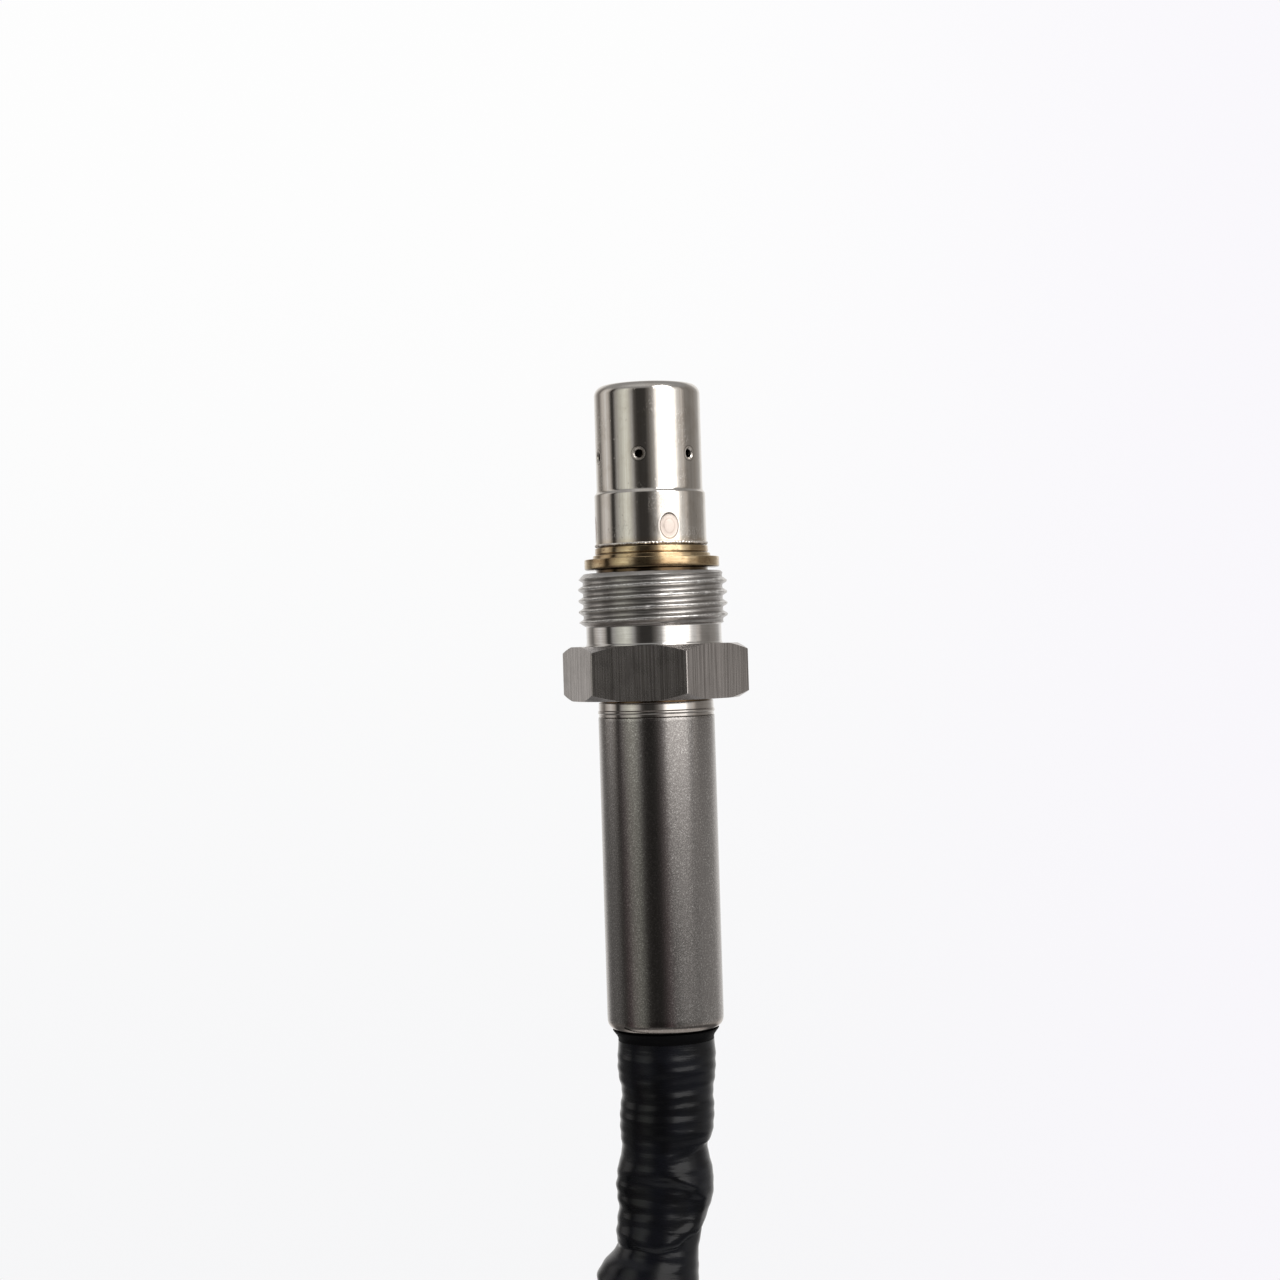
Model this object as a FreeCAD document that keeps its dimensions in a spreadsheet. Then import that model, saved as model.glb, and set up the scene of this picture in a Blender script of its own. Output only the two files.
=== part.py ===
# Exhaust gas sensor for nitrogen oxides, in millimetres.
# The sensor's axis is Z, with the gas-sensing tip up.
# The origin is where the axis meets the front face of the housing's flange,
# which is the face that seats in the exhaust boss.
# The view in which the part is usually shown looks along +Y, with +X to the right.
import FreeCAD
import Part
import Sketcher
import math
import os

# Driving dimensions: each is one cell of the sheet, named by its alias.
DIMENSIONS = {
    # Outer protection cap: a drawn cup with a wider skirt at its open end.
    "cap_diameter": 14.0,
    "cap_skirt_diameter": 14.8,
    "cap_wall": 0.5,
    "cap_length": 21.5,
    "cap_skirt_length": 7.2,
    "cap_edge_radius": 1.1,
    "cap_step_height": 0.45,
    "cap_vent_diameter": 1.6,
    "gas_hole_diameter": 1.27,
    "gas_hole_sink_diameter": 1.67,
    "gas_hole_count": 6,
    "gas_hole_above_seat": 13.8,
    "gas_hole_turn": -11.0,
    # Inner protection tube under the cap.
    "inner_tube_diameter": 9.4,
    "inner_tube_wall": 0.4,
    "inner_tube_length": 14.5,
    "inner_tube_edge_radius": 0.8,
    "inner_hole_diameter": 1.5,
    "inner_hole_above_foot": 3.0,
    # Ceramic sensing element: a flat strip.
    "element_width": 4.2,
    "element_thickness": 1.3,
    "element_reach": 17.0,
    "element_length": 61.0,
    # Housing: turned in one piece, with the flange that the screw presses on.
    "step_ring_diameter": 15.6,
    "step_ring_top_diameter": 15.1,
    "step_ring_height": 1.7,
    "flange_diameter": 18.1,
    "flange_thickness": 1.4,
    "flange_chamfer": 0.25,
    "neck_diameter": 15.0,
    "spigot_height": 4.3,
    "housing_mouth_diameter": 8.6,
    "housing_bore_diameter": 11.4,
    "housing_shoulder_height": 1.2,
    "rear_spigot_diameter": 14.5,
    "rear_spigot_length": 6.85,
    "crimp_lip_thickness": 0.8,
    "crimp_lip_diameter": 9.6,
    # Ceramics and the seal inside the housing.
    "front_holder_length": 6.0,
    "talc_length": 5.0,
    "pressure_ring_length": 1.7,
    "pressure_ring_bore": 7.0,
    # Hollow screw, free to turn on the neck.
    "thread_diameter": 20.0,
    "thread_length": 7.1,
    "thread_chamfer": 0.8,
    "relief_diameter": 18.15,
    "relief_length": 2.6,
    "hex_across_flats": 22.0,
    "hex_height": 7.4,
    "hex_corner_chamfer": 1.35,
    "hex_chamfer_height": 0.85,
    "hex_turn": 48.6,
    "screw_play": 0.5,
    # Stop collar and rear sleeve.
    "collar_diameter": 15.7,
    "collar_length": 1.95,
    "collar_edge_radius": 0.3,
    "sleeve_diameter": 15.6,
    "sleeve_wall": 0.5,
    "sleeve_length": 41.7,
    "sleeve_edge_radius": 1.8,
    "sleeve_end_land": 0.2,
    # Contact carrier, its contacts and the ring that centres it.
    "carrier_length": 16.0,
    "carrier_gap": 1.5,
    "carrier_slot_width": 5.4,
    "carrier_slot_depth": 4.6,
    "contact_width": 0.7,
    "contact_thickness": 0.25,
    "contact_pitch": 1.2,
    "contact_count": 4,
    "contact_length": 12.0,
    "contact_foot_length": 2.0,
    "contact_bend_height": 7.2,
    "clip_thickness": 1.0,
    "clip_length": 3.2,
    "clip_inset": 3.0,
    "clip_slit": 2.2,
    # Grommet and the wires through it.
    "grommet_length": 11.0,
    "wire_diameter": 1.7,
    "wire_circle_diameter": 7.0,
    "wire_count": 8,
    # Boot at the sleeve's mouth, and the covered lead.
    "boot_flare_diameter": 14.0,
    "boot_foot_diameter": 13.0,
    "boot_length": 1.6,
    "boot_lip_length": 0.4,
    "boot_bore": 9.2,
    "cable_diameter": 12.6,
    "coil_radius": 68.0,
    "coil_shift": 13.0,
    "tail_length": 62.0,
    "tie_width": 4.8,
    "tie_thickness": 1.4,
    "tie_head_size": 7.0,
    "tie_head_depth": 4.9,
    "tie_head_height": 6.0,
    # Control unit at the far end of the lead.
    "unit_width": 64.0,
    "unit_height": 74.0,
    "unit_depth": 20.0,
    "unit_wall": 2.2,
    "unit_corner_radius": 6.0,
    "unit_front_radius": 2.0,
    "ear_offset": 38.0,
    "ear_radius": 8.0,
    "ear_thickness": 8.0,
    "bush_diameter": 9.4,
    "bush_bore": 6.6,
    "cover_thickness": 2.4,
    "cover_rib_width": 1.6,
    "cover_rib_height": 1.8,
    "cover_rib_pitch": 7.0,
    "cover_rib_count": 6,
    "cover_rib_margin": 13.0,
    "gasket_thickness": 0.8,
    "board_thickness": 1.6,
    "board_rest_diameter": 5.0,
    "unit_wire_diameter": 1.2,
    "unit_wire_pitch": 1.9,
    "unit_wire_length": 8.0,
    "screw_post_diameter": 7.0,
    "screw_hole_diameter": 2.6,
    "screw_inset": 6.2,
    "screw_head_diameter": 5.6,
    "screw_head_height": 2.0,
    "screw_length": 10.0,
    "gland_length": 22.0,
    "gland_rim_length": 4.4,
    "gland_top_diameter": 14.6,
    "gland_foot_diameter": 16.0,
    "gland_head_diameter": 15.2,
    "gland_head_thickness": 1.5,
    "gland_hole_diameter": 13.4,
    "plug_width": 34.0,
    "plug_depth": 15.0,
    "plug_wall": 2.0,
    "plug_length": 18.0,
    "plug_floor": 2.5,
    "plug_radius": 3.0,
    "pin_width": 1.5,
    "pin_thickness": 0.8,
    "pin_pitch": 5.0,
    "pin_count": 5,
    "pin_reach": 8.5,
    "pin_overlap": 5.0,
    # Clearances.
    "running_clearance": 0.08,
    "screw_rear_gap": 0.15,
    "seat_clearance": 0.05,
    "slot_clearance": 0.1,
    "talc_clearance": 0.02,
    "board_clearance": 0.3,
}

# The lead's route from its exit to the coil, as offsets in x, y and z from the exit.
LEAD_ROUTE = [
    (0.0, 0.0, 0.0),
    (0.0, 0.0, -18.6),
    (-4.2, 0.0, -42.6),
    (-9.6, 0.0, -69.6),
    (-10.6, 0.0, -95.6),
    (-10.8, 0.0, -119.6),
]
# Share of the shorter run that an arc of the route takes up on each side of its point.
ARC_SHARE = 0.45

# Larger components on the board: place across and along, width, height and thickness.
BOARD_COMPONENTS = [
    (-2.0, 4.0, 14.0, 14.0, 1.6),
    (-18.0, 14.0, 10.0, 8.0, 3.2),
    (15.0, 16.0, 9.0, 9.0, 5.0),
    (16.0, 0.0, 6.0, 12.0, 2.0),
    (-17.0, -6.0, 8.0, 6.0, 1.8),
]

# In a sketch, geometry -1 is the horizontal axis, and its point 1 is the origin.
ROOT = -1
ROOT_POINT = 1
# Two lengths that differ by less than this are the same length.
TOUCH = 1e-4
# Degrees in a full turn.
FULL_TURN = 360


class Size:
    """A length that carries its value and the sheet formula it comes from."""

    def __init__(self, value, formula):
        self.value = value
        self.formula = formula

    @staticmethod
    def of(number):
        """Wrap a plain number, and leave a Size as it is."""
        if isinstance(number, Size):
            return number
        return Size(float(number), repr(float(number)))

    def _joined(self, sign, other, value):
        return Size(value, "(" + self.formula + " " + sign + " " + Size.of(other).formula + ")")

    def __add__(self, other):
        return self._joined("+", other, self.value + Size.of(other).value)

    def __sub__(self, other):
        return self._joined("-", other, self.value - Size.of(other).value)

    def __mul__(self, other):
        return self._joined("*", other, self.value * Size.of(other).value)

    def __truediv__(self, other):
        return self._joined("/", other, self.value / Size.of(other).value)

    def __rsub__(self, other):
        return Size.of(other) - self

    def __neg__(self):
        return Size.of(0.0) - self


document = FreeCAD.newDocument("nitrogen_oxide_sensor")
sheet = document.addObject("Spreadsheet::Sheet", "Sizes")
for row, (alias, number) in enumerate(DIMENSIONS.items(), start=1):
    sheet.set("A%d" % row, alias)
    sheet.set("B%d" % row, str(number))
    sheet.setAlias("B%d" % row, alias)
document.recompute()

# The finished sub-parts by name, in the order in which they are made.
subparts = {}


def size(alias):
    """Return the sheet's dimension of that name."""
    return Size(float(sheet.get(alias)), "Sizes." + alias)


def count(alias):
    """Return a whole number of the sheet."""
    return int(round(float(sheet.get(alias))))


def bind(target, path, value):
    """Bind one property of an object to a size's formula."""
    target.setExpression(path, Size.of(value).formula)


def place(target, x, y, z):
    """Bind the place of an object's origin."""
    for axis, value in (("x", x), ("y", y), ("z", z)):
        bind(target, "Placement.Base." + axis, value)


def new_body(label):
    """Start a body of its own."""
    body = document.addObject("PartDesign::Body", label)
    body.Label = label
    body.AllowCompound = True
    return body


def sketch_on(body, role, offset=0.0):
    """Start a sketch on one of the body's own planes, moved along the plane's normal."""
    plane = [item for item in body.Origin.OriginFeatures if item.Role == role][0]
    sketch = body.newObject("Sketcher::SketchObject", body.Name + "_sketch")
    sketch.AttachmentSupport = (plane, [""])
    sketch.MapMode = "FlatFace"
    bind(sketch, "AttachmentOffset.Base.z", offset)
    return sketch


def dimension(sketch, kind, value, *places):
    """Add one driving dimension to a sketch and bind it."""
    name = kind + str(sketch.ConstraintCount)
    number = Size.of(value)
    index = sketch.addConstraint(Sketcher.Constraint(kind, *places, number.value))
    sketch.renameConstraint(index, name)
    bind(sketch, "Constraints." + name, number)


def add_outline(sketch, corners):
    """Draw a closed outline through corners whose places are bound one by one."""
    points = [FreeCAD.Vector(Size.of(across).value, Size.of(along).value, 0) for across, along in corners]
    first = sketch.GeometryCount
    total = len(points)
    for index in range(total):
        sketch.addGeometry(Part.LineSegment(points[index], points[(index + 1) % total]), False)
    for index in range(total):
        following = first + (index + 1) % total
        sketch.addConstraint(Sketcher.Constraint("Coincident", first + index, 2, following, 1))
    for index, (across, along) in enumerate(corners):
        dimension(sketch, "DistanceX", across, ROOT, ROOT_POINT, first + index, 1)
        dimension(sketch, "DistanceY", along, ROOT, ROOT_POINT, first + index, 1)


def add_rectangle(sketch, width, depth, x=0.0, y=0.0):
    """Draw a rectangle around a centre."""
    left = Size.of(x) - Size.of(width) / 2
    right = Size.of(x) + Size.of(width) / 2
    low = Size.of(y) - Size.of(depth) / 2
    high = Size.of(y) + Size.of(depth) / 2
    add_outline(sketch, [(left, low), (right, low), (right, high), (left, high)])


def add_circle(sketch, diameter, x=0.0, y=0.0):
    """Draw a circle around a centre."""
    centre = FreeCAD.Vector(Size.of(x).value, Size.of(y).value, 0)
    circle = Part.Circle(centre, FreeCAD.Vector(0, 0, 1), Size.of(diameter).value / 2)
    index = sketch.addGeometry(circle, False)
    dimension(sketch, "Diameter", diameter, index)
    dimension(sketch, "DistanceX", x, ROOT, ROOT_POINT, index, 3)
    dimension(sketch, "DistanceY", y, ROOT, ROOT_POINT, index, 3)


def add_slot(sketch, half_width, low_y, high_y, x=0.0):
    """Draw a slot outline with round ends, along the sketch's second axis."""
    across = Size.of(x)
    left = across - half_width
    right = across + half_width
    up = FreeCAD.Vector(0, 0, 1)
    low_centre = FreeCAD.Vector(across.value, Size.of(low_y).value, 0)
    high_centre = FreeCAD.Vector(across.value, Size.of(high_y).value, 0)
    low_circle = Part.Circle(low_centre, up, Size.of(half_width).value)
    high_circle = Part.Circle(high_centre, up, Size.of(half_width).value)
    low_end = sketch.addGeometry(Part.ArcOfCircle(low_circle, math.pi, 2 * math.pi), False)
    high_end = sketch.addGeometry(Part.ArcOfCircle(high_circle, 0.0, math.pi), False)
    right_side = sketch.addGeometry(
        Part.LineSegment(
            FreeCAD.Vector(right.value, Size.of(low_y).value, 0),
            FreeCAD.Vector(right.value, Size.of(high_y).value, 0),
        ),
        False,
    )
    left_side = sketch.addGeometry(
        Part.LineSegment(
            FreeCAD.Vector(left.value, Size.of(high_y).value, 0),
            FreeCAD.Vector(left.value, Size.of(low_y).value, 0),
        ),
        False,
    )
    sketch.addConstraint(Sketcher.Constraint("Coincident", low_end, 2, right_side, 1))
    sketch.addConstraint(Sketcher.Constraint("Coincident", right_side, 2, high_end, 1))
    sketch.addConstraint(Sketcher.Constraint("Coincident", high_end, 2, left_side, 1))
    sketch.addConstraint(Sketcher.Constraint("Coincident", left_side, 2, low_end, 1))
    for line, start, across_x in ((right_side, low_y, right), (left_side, high_y, left)):
        dimension(sketch, "DistanceX", across_x, ROOT, ROOT_POINT, line, 1)
        dimension(sketch, "DistanceY", start, ROOT, ROOT_POINT, line, 1)
        dimension(sketch, "DistanceX", across_x, ROOT, ROOT_POINT, line, 2)
    dimension(sketch, "DistanceY", high_y, ROOT, ROOT_POINT, right_side, 2)
    dimension(sketch, "DistanceY", low_y, ROOT, ROOT_POINT, left_side, 2)
    dimension(sketch, "DistanceY", low_y, ROOT, ROOT_POINT, low_end, 3)
    dimension(sketch, "DistanceY", high_y, ROOT, ROOT_POINT, high_end, 3)


def add_revolution(body, sketch):
    """Turn a sketch about its own vertical axis."""
    turned = body.newObject("PartDesign::Revolution", body.Name + "_turned")
    turned.Profile = sketch
    turned.ReferenceAxis = (sketch, ["V_Axis"])
    turned.Angle = FULL_TURN
    sketch.Visibility = False
    return turned


def add_pad(body, sketch, length, backwards=False, both_ways=False):
    """Extrude a sketch by a bound length."""
    pad = body.newObject("PartDesign::Pad", body.Name + "_pad")
    pad.Profile = sketch
    pad.Reversed = backwards
    pad.Midplane = both_ways
    bind(pad, "Length", length)
    return pad


def add_pocket(body, sketch, length, backwards=False, both_ways=False):
    """Cut a sketch out by a bound depth, and make sure that the cut takes something away."""
    document.recompute()
    before = body.Shape.Volume
    pocket = body.newObject("PartDesign::Pocket", body.Name + "_pocket")
    pocket.Profile = sketch
    pocket.Reversed = backwards
    pocket.Midplane = both_ways
    bind(pocket, "Length", length)
    document.recompute()
    if body.Shape.Volume >= before:
        raise ValueError("the pocket cuts nothing in " + body.Label)
    return pocket


def add_polar(body, features, axis_sketch, occurrences):
    """Repeat features around the vertical axis of the body."""
    pattern = body.newObject("PartDesign::PolarPattern", body.Name + "_polar")
    pattern.Originals = features
    pattern.Axis = (axis_sketch, ["N_Axis"])
    pattern.Angle = FULL_TURN
    bind(pattern, "Occurrences", occurrences)
    body.Tip = pattern
    document.recompute()
    return pattern


def add_row(body, features, axis_sketch, direction, span, occurrences):
    """Repeat features in a straight row over a bound span."""
    pattern = body.newObject("PartDesign::LinearPattern", body.Name + "_row")
    pattern.Originals = features
    pattern.Direction = (axis_sketch, [direction])
    bind(pattern, "Length", span)
    bind(pattern, "Occurrences", occurrences)
    body.Tip = pattern
    document.recompute()
    return pattern


def edges_where(feature, test):
    """Return the names of the feature's edges that pass the test."""
    document.recompute()
    return ["Edge%d" % (index + 1) for index, edge in enumerate(feature.Shape.Edges) if test(edge)]


def is_ring(edge, radius, height):
    """Tell whether an edge is a full circle about Z of that radius at that height."""
    if not isinstance(edge.Curve, Part.Circle):
        return False
    same_height = abs(edge.Curve.Center.z - Size.of(height).value) < TOUCH
    return same_height and abs(edge.Curve.Radius - Size.of(radius).value) < TOUCH


def is_upright(edge):
    """Tell whether an edge is a straight line along Z."""
    box = edge.BoundBox
    return isinstance(edge.Curve, Part.Line) and max(box.XLength, box.YLength) < TOUCH


def add_edge_round(body, feature, edges, radius):
    """Round the named edges by a bound radius."""
    finish = body.newObject("PartDesign::Fillet", body.Name + "_edge")
    finish.Base = (feature, edges)
    bind(finish, "Radius", radius)
    document.recompute()
    return finish


def turned_body(label, outline):
    """Make a body by turning one outline of radius and height about Z."""
    body = new_body(label)
    sketch = sketch_on(body, "XZ_Plane")
    add_outline(sketch, outline)
    add_revolution(body, sketch)
    document.recompute()
    return body


def turned_part(label, outline):
    """Make a sub-part that is one turned body."""
    body = turned_body(label, outline)
    subparts[label] = body
    return body


def plain_ring(label, outer_diameter, inner_diameter, low, high):
    """Make a plain ring between two heights."""
    outer = Size.of(outer_diameter) / 2
    inner = Size.of(inner_diameter) / 2
    return turned_part(label, [(inner, low), (outer, low), (outer, high), (inner, high)])


# Heights along the sensor's axis, all measured from the seat at zero.
seat = Size.of(0.0)
skirt_foot = seat + size("step_ring_height")
skirt_top = skirt_foot + size("cap_skirt_length")
cap_top = skirt_foot + size("cap_length")
spigot_top = skirt_foot + size("spigot_height")
flange_rear = seat - size("flange_thickness")
screw_top = flange_rear - size("screw_play")
thread_end = screw_top - size("thread_length")
hex_top = thread_end - size("relief_length")
hex_foot = hex_top - size("hex_height")
neck_foot = hex_foot - size("screw_rear_gap")
collar_foot = neck_foot - size("collar_length")
housing_foot = neck_foot - size("rear_spigot_length")
sleeve_foot = collar_foot - size("sleeve_length")
lead_exit = sleeve_foot - size("boot_length")

cap_inner_radius = size("cap_diameter") / 2 - size("cap_wall")
skirt_inner_radius = size("cap_skirt_diameter") / 2 - size("cap_wall")
front_spigot_radius = skirt_inner_radius - size("seat_clearance")
bore_radius = size("housing_bore_diameter") / 2
insert_diameter = size("housing_bore_diameter") - size("seat_clearance") * 2
sleeve_inner_radius = size("sleeve_diameter") / 2 - size("sleeve_wall")
sleeve_mouth_radius = size("sleeve_diameter") / 2 - size("sleeve_edge_radius") - size("sleeve_end_land")
carrier_radius = sleeve_inner_radius - size("clip_thickness") - size("seat_clearance") * 2
slot_width = size("element_width") + size("slot_clearance") * 2
slot_thickness = size("element_thickness") + size("slot_clearance") * 2


def make_outer_cap():
    """Outer protection cap: a drawn cup with a ring of countersunk gas holes."""
    outer = size("cap_diameter") / 2
    skirt = size("cap_skirt_diameter") / 2
    wall = size("cap_wall")
    vent = size("cap_vent_diameter") / 2
    step = size("cap_step_height")
    body = turned_part("outer_protection_cap", [
        (skirt_inner_radius, skirt_foot),
        (skirt, skirt_foot),
        (skirt, skirt_top - step),
        (outer, skirt_top),
        (outer, cap_top),
        (vent, cap_top),
        (vent, cap_top - wall),
        (cap_inner_radius, cap_top - wall),
        (cap_inner_radius, skirt_top - wall),
        (skirt_inner_radius, skirt_top - wall - step),
    ])
    cup = body.Tip
    rim = edges_where(cup, lambda edge: is_ring(edge, outer, cap_top))
    rounded = add_edge_round(body, cup, rim, size("cap_edge_radius"))
    inner_rim = edges_where(rounded, lambda edge: is_ring(edge, cap_inner_radius, cap_top - wall))
    inner_round = size("cap_edge_radius") - size("cap_wall")
    add_edge_round(body, rounded, inner_rim, inner_round)
    # Each gas hole is a straight hole and a short cone, both turned about the hole's own axis.
    hole = size("gas_hole_diameter") / 2
    sink = size("gas_hole_sink_diameter") / 2
    # The cone is twice as deep as it widens on one side.
    flare = (sink - hole) * 2
    sink_start = outer - flare
    cutter = body.newObject("PartDesign::Groove", "gas_hole")
    cutter.Profile = gas_hole_sketch(body, hole, sink, cap_inner_radius - wall, sink_start, outer)
    cutter.ReferenceAxis = (cutter.Profile[0], ["V_Axis"])
    cutter.Angle = FULL_TURN
    document.recompute()
    flat = sketch_on(body, "XY_Plane")
    add_polar(body, [cutter], flat, size("gas_hole_count"))


def gas_hole_sketch(body, hole, sink, inside, sink_start, surface):
    """Draw half the section of one gas hole, along a level line out of the axis."""
    sketch = sketch_on(body, "XY_Plane", seat + size("gas_hole_above_seat"))
    bind(sketch, "AttachmentOffset.Rotation.Angle", size("gas_hole_turn"))
    beyond = surface + (surface - sink_start)
    wide = sink + (sink - hole)
    add_outline(sketch, [
        (seat, inside),
        (hole, inside),
        (hole, sink_start),
        (wide, beyond),
        (seat, beyond),
    ])
    return sketch


def make_inner_tube():
    """Inner protection tube, with its foot on the housing's spigot."""
    outer = size("inner_tube_diameter") / 2
    wall = size("inner_tube_wall")
    vent = size("cap_vent_diameter") / 2
    top = spigot_top + size("inner_tube_length")
    foot_radius = skirt_inner_radius - size("seat_clearance")
    body = turned_part("inner_protection_tube", [
        (outer - wall, spigot_top),
        (foot_radius, spigot_top),
        (foot_radius, spigot_top + wall),
        (outer, spigot_top + wall),
        (outer, top),
        (vent, top),
        (vent, top - wall),
        (outer - wall, top - wall),
    ])
    rim = edges_where(body.Tip, lambda edge: is_ring(edge, outer, top))
    add_edge_round(body, body.Tip, rim, size("inner_tube_edge_radius"))
    sketch = sketch_on(body, "XZ_Plane")
    add_circle(sketch, size("inner_hole_diameter"), seat, spigot_top + size("inner_hole_above_foot"))
    hole = add_pocket(body, sketch, outer + wall)
    flat = sketch_on(body, "XY_Plane")
    add_polar(body, [hole], flat, size("gas_hole_count"))


def make_housing():
    """Housing with the step ring, the flange, the neck and the crimped rear lip."""
    neck = size("neck_diameter") / 2
    mouth = size("housing_mouth_diameter") / 2
    rear = size("rear_spigot_diameter") / 2
    lip = size("crimp_lip_diameter") / 2
    flange = size("flange_diameter") / 2
    ring = size("step_ring_diameter") / 2
    ring_top = size("step_ring_top_diameter") / 2
    chamfer = size("flange_chamfer")
    shoulder = seat + size("housing_shoulder_height")
    lip_top = housing_foot + size("crimp_lip_thickness")
    turned_part("sensor_housing", [
        (mouth, spigot_top),
        (front_spigot_radius, spigot_top),
        (front_spigot_radius, skirt_foot),
        (ring_top, skirt_foot),
        (ring, seat),
        (flange, seat),
        (flange, flange_rear + chamfer),
        (flange - chamfer, flange_rear),
        (neck, flange_rear),
        (neck, neck_foot),
        (rear, neck_foot),
        (rear, housing_foot),
        (lip, housing_foot),
        (lip, lip_top),
        (bore_radius, lip_top),
        (bore_radius, shoulder),
        (mouth, shoulder),
    ])


def slotted_insert(label, low, high, width, thickness):
    """Make a round insert of the housing's bore with the element's slot through it."""
    body = new_body(label)
    disc = sketch_on(body, "XY_Plane", low)
    add_circle(disc, insert_diameter)
    add_rectangle(disc, width, thickness)
    add_pad(body, disc, Size.of(high) - low)
    document.recompute()
    subparts[label] = body


def make_element_and_seals():
    """Sensing element with the ceramics, the talc and the ring that hold it."""
    shoulder = seat + size("housing_shoulder_height")
    holder_foot = shoulder - size("front_holder_length")
    talc_foot = holder_foot - size("talc_length")
    ring_foot = housing_foot + size("crimp_lip_thickness")
    ring_top = ring_foot + size("pressure_ring_length")
    element = document.addObject("Part::Box", "sensing_element")
    bind(element, "Length", size("element_width"))
    bind(element, "Width", size("element_thickness"))
    bind(element, "Height", size("element_length"))
    place(
        element,
        -size("element_width") / 2,
        -size("element_thickness") / 2,
        seat + size("element_reach") - size("element_length"),
    )
    document.recompute()
    subparts["sensing_element"] = element
    talc_width = size("element_width") + size("talc_clearance") * 2
    talc_thickness = size("element_thickness") + size("talc_clearance") * 2
    slotted_insert("front_ceramic_holder", holder_foot, shoulder, slot_width, slot_thickness)
    slotted_insert("talc_seal", talc_foot, holder_foot, talc_width, talc_thickness)
    slotted_insert("rear_ceramic_bushing", ring_top, talc_foot, slot_width, slot_thickness)
    plain_ring("pressure_ring", insert_diameter, size("pressure_ring_bore"), ring_foot, ring_top)


def make_hollow_screw():
    """Hollow screw: thread, relief and hexagon in one piece, free to turn on the neck."""
    bore = size("neck_diameter") / 2 + size("running_clearance")
    thread = size("thread_diameter") / 2
    relief = size("relief_diameter") / 2
    chamfer = size("thread_chamfer")
    corner = size("hex_across_flats") / Size(math.sqrt(3.0), "sqrt(3)")
    top_radius = corner - size("hex_corner_chamfer")
    rise = size("hex_chamfer_height")
    # The thread's rear end runs out over half the thread's own depth.
    runout = (thread - relief) / 2
    blank = turned_body("screw_blank", [
        (bore, hex_foot),
        (top_radius, hex_foot),
        (corner, hex_foot + rise),
        (corner, hex_top - rise),
        (top_radius, hex_top),
        (relief, hex_top),
        (relief, thread_end),
        (relief, thread_end + chamfer),
        (thread, thread_end + chamfer + runout),
        (thread, screw_top - chamfer),
        (thread - chamfer, screw_top),
        (bore, screw_top),
    ])
    prism = document.addObject("Part::Prism", "screw_hexagon")
    prism.Polygon = 6
    # The turn's axis has to be Z before the angle can be bound.
    prism.Placement = FreeCAD.Placement(
        FreeCAD.Vector(0, 0, 0),
        FreeCAD.Rotation(FreeCAD.Vector(0, 0, 1), size("hex_turn").value),
    )
    bind(prism, "Circumradius", corner)
    bind(prism, "Height", screw_top - hex_foot)
    place(prism, seat, seat, hex_foot)
    bind(prism, "Placement.Rotation.Angle", size("hex_turn"))
    screw = document.addObject("Part::Common", "hollow_screw")
    screw.Base = blank
    screw.Tool = prism
    document.recompute()
    subparts["hollow_screw"] = screw


def make_collar_and_sleeve():
    """Stop collar behind the screw, and the drawn rear sleeve."""
    rear_bore = size("rear_spigot_diameter") + size("seat_clearance") * 2
    collar = plain_ring("stop_collar", size("collar_diameter"), rear_bore, collar_foot, neck_foot)
    collar_radius = size("collar_diameter") / 2
    rims = edges_where(
        collar.Tip,
        lambda edge: is_ring(edge, collar_radius, collar_foot) or is_ring(edge, collar_radius, neck_foot),
    )
    add_edge_round(collar, collar.Tip, rims, size("collar_edge_radius"))
    outer = size("sleeve_diameter") / 2
    wall = size("sleeve_wall")
    sleeve = turned_part("rear_sleeve", [
        (outer - wall, collar_foot),
        (outer - wall, sleeve_foot + wall),
        (sleeve_mouth_radius, sleeve_foot + wall),
        (sleeve_mouth_radius, sleeve_foot),
        (outer, sleeve_foot),
        (outer, collar_foot),
    ])
    outside = edges_where(sleeve.Tip, lambda edge: is_ring(edge, outer, sleeve_foot))
    rounded = add_edge_round(sleeve, sleeve.Tip, outside, size("sleeve_edge_radius"))
    inside = edges_where(rounded, lambda edge: is_ring(edge, outer - wall, sleeve_foot + wall))
    add_edge_round(sleeve, rounded, inside, size("sleeve_edge_radius") - wall)


carrier_top = housing_foot - size("carrier_gap")
carrier_foot = carrier_top - size("carrier_length")
boot_head_top = sleeve_foot + size("sleeve_edge_radius") + size("sleeve_wall")
grommet_top = boot_head_top + size("grommet_length")


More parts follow.
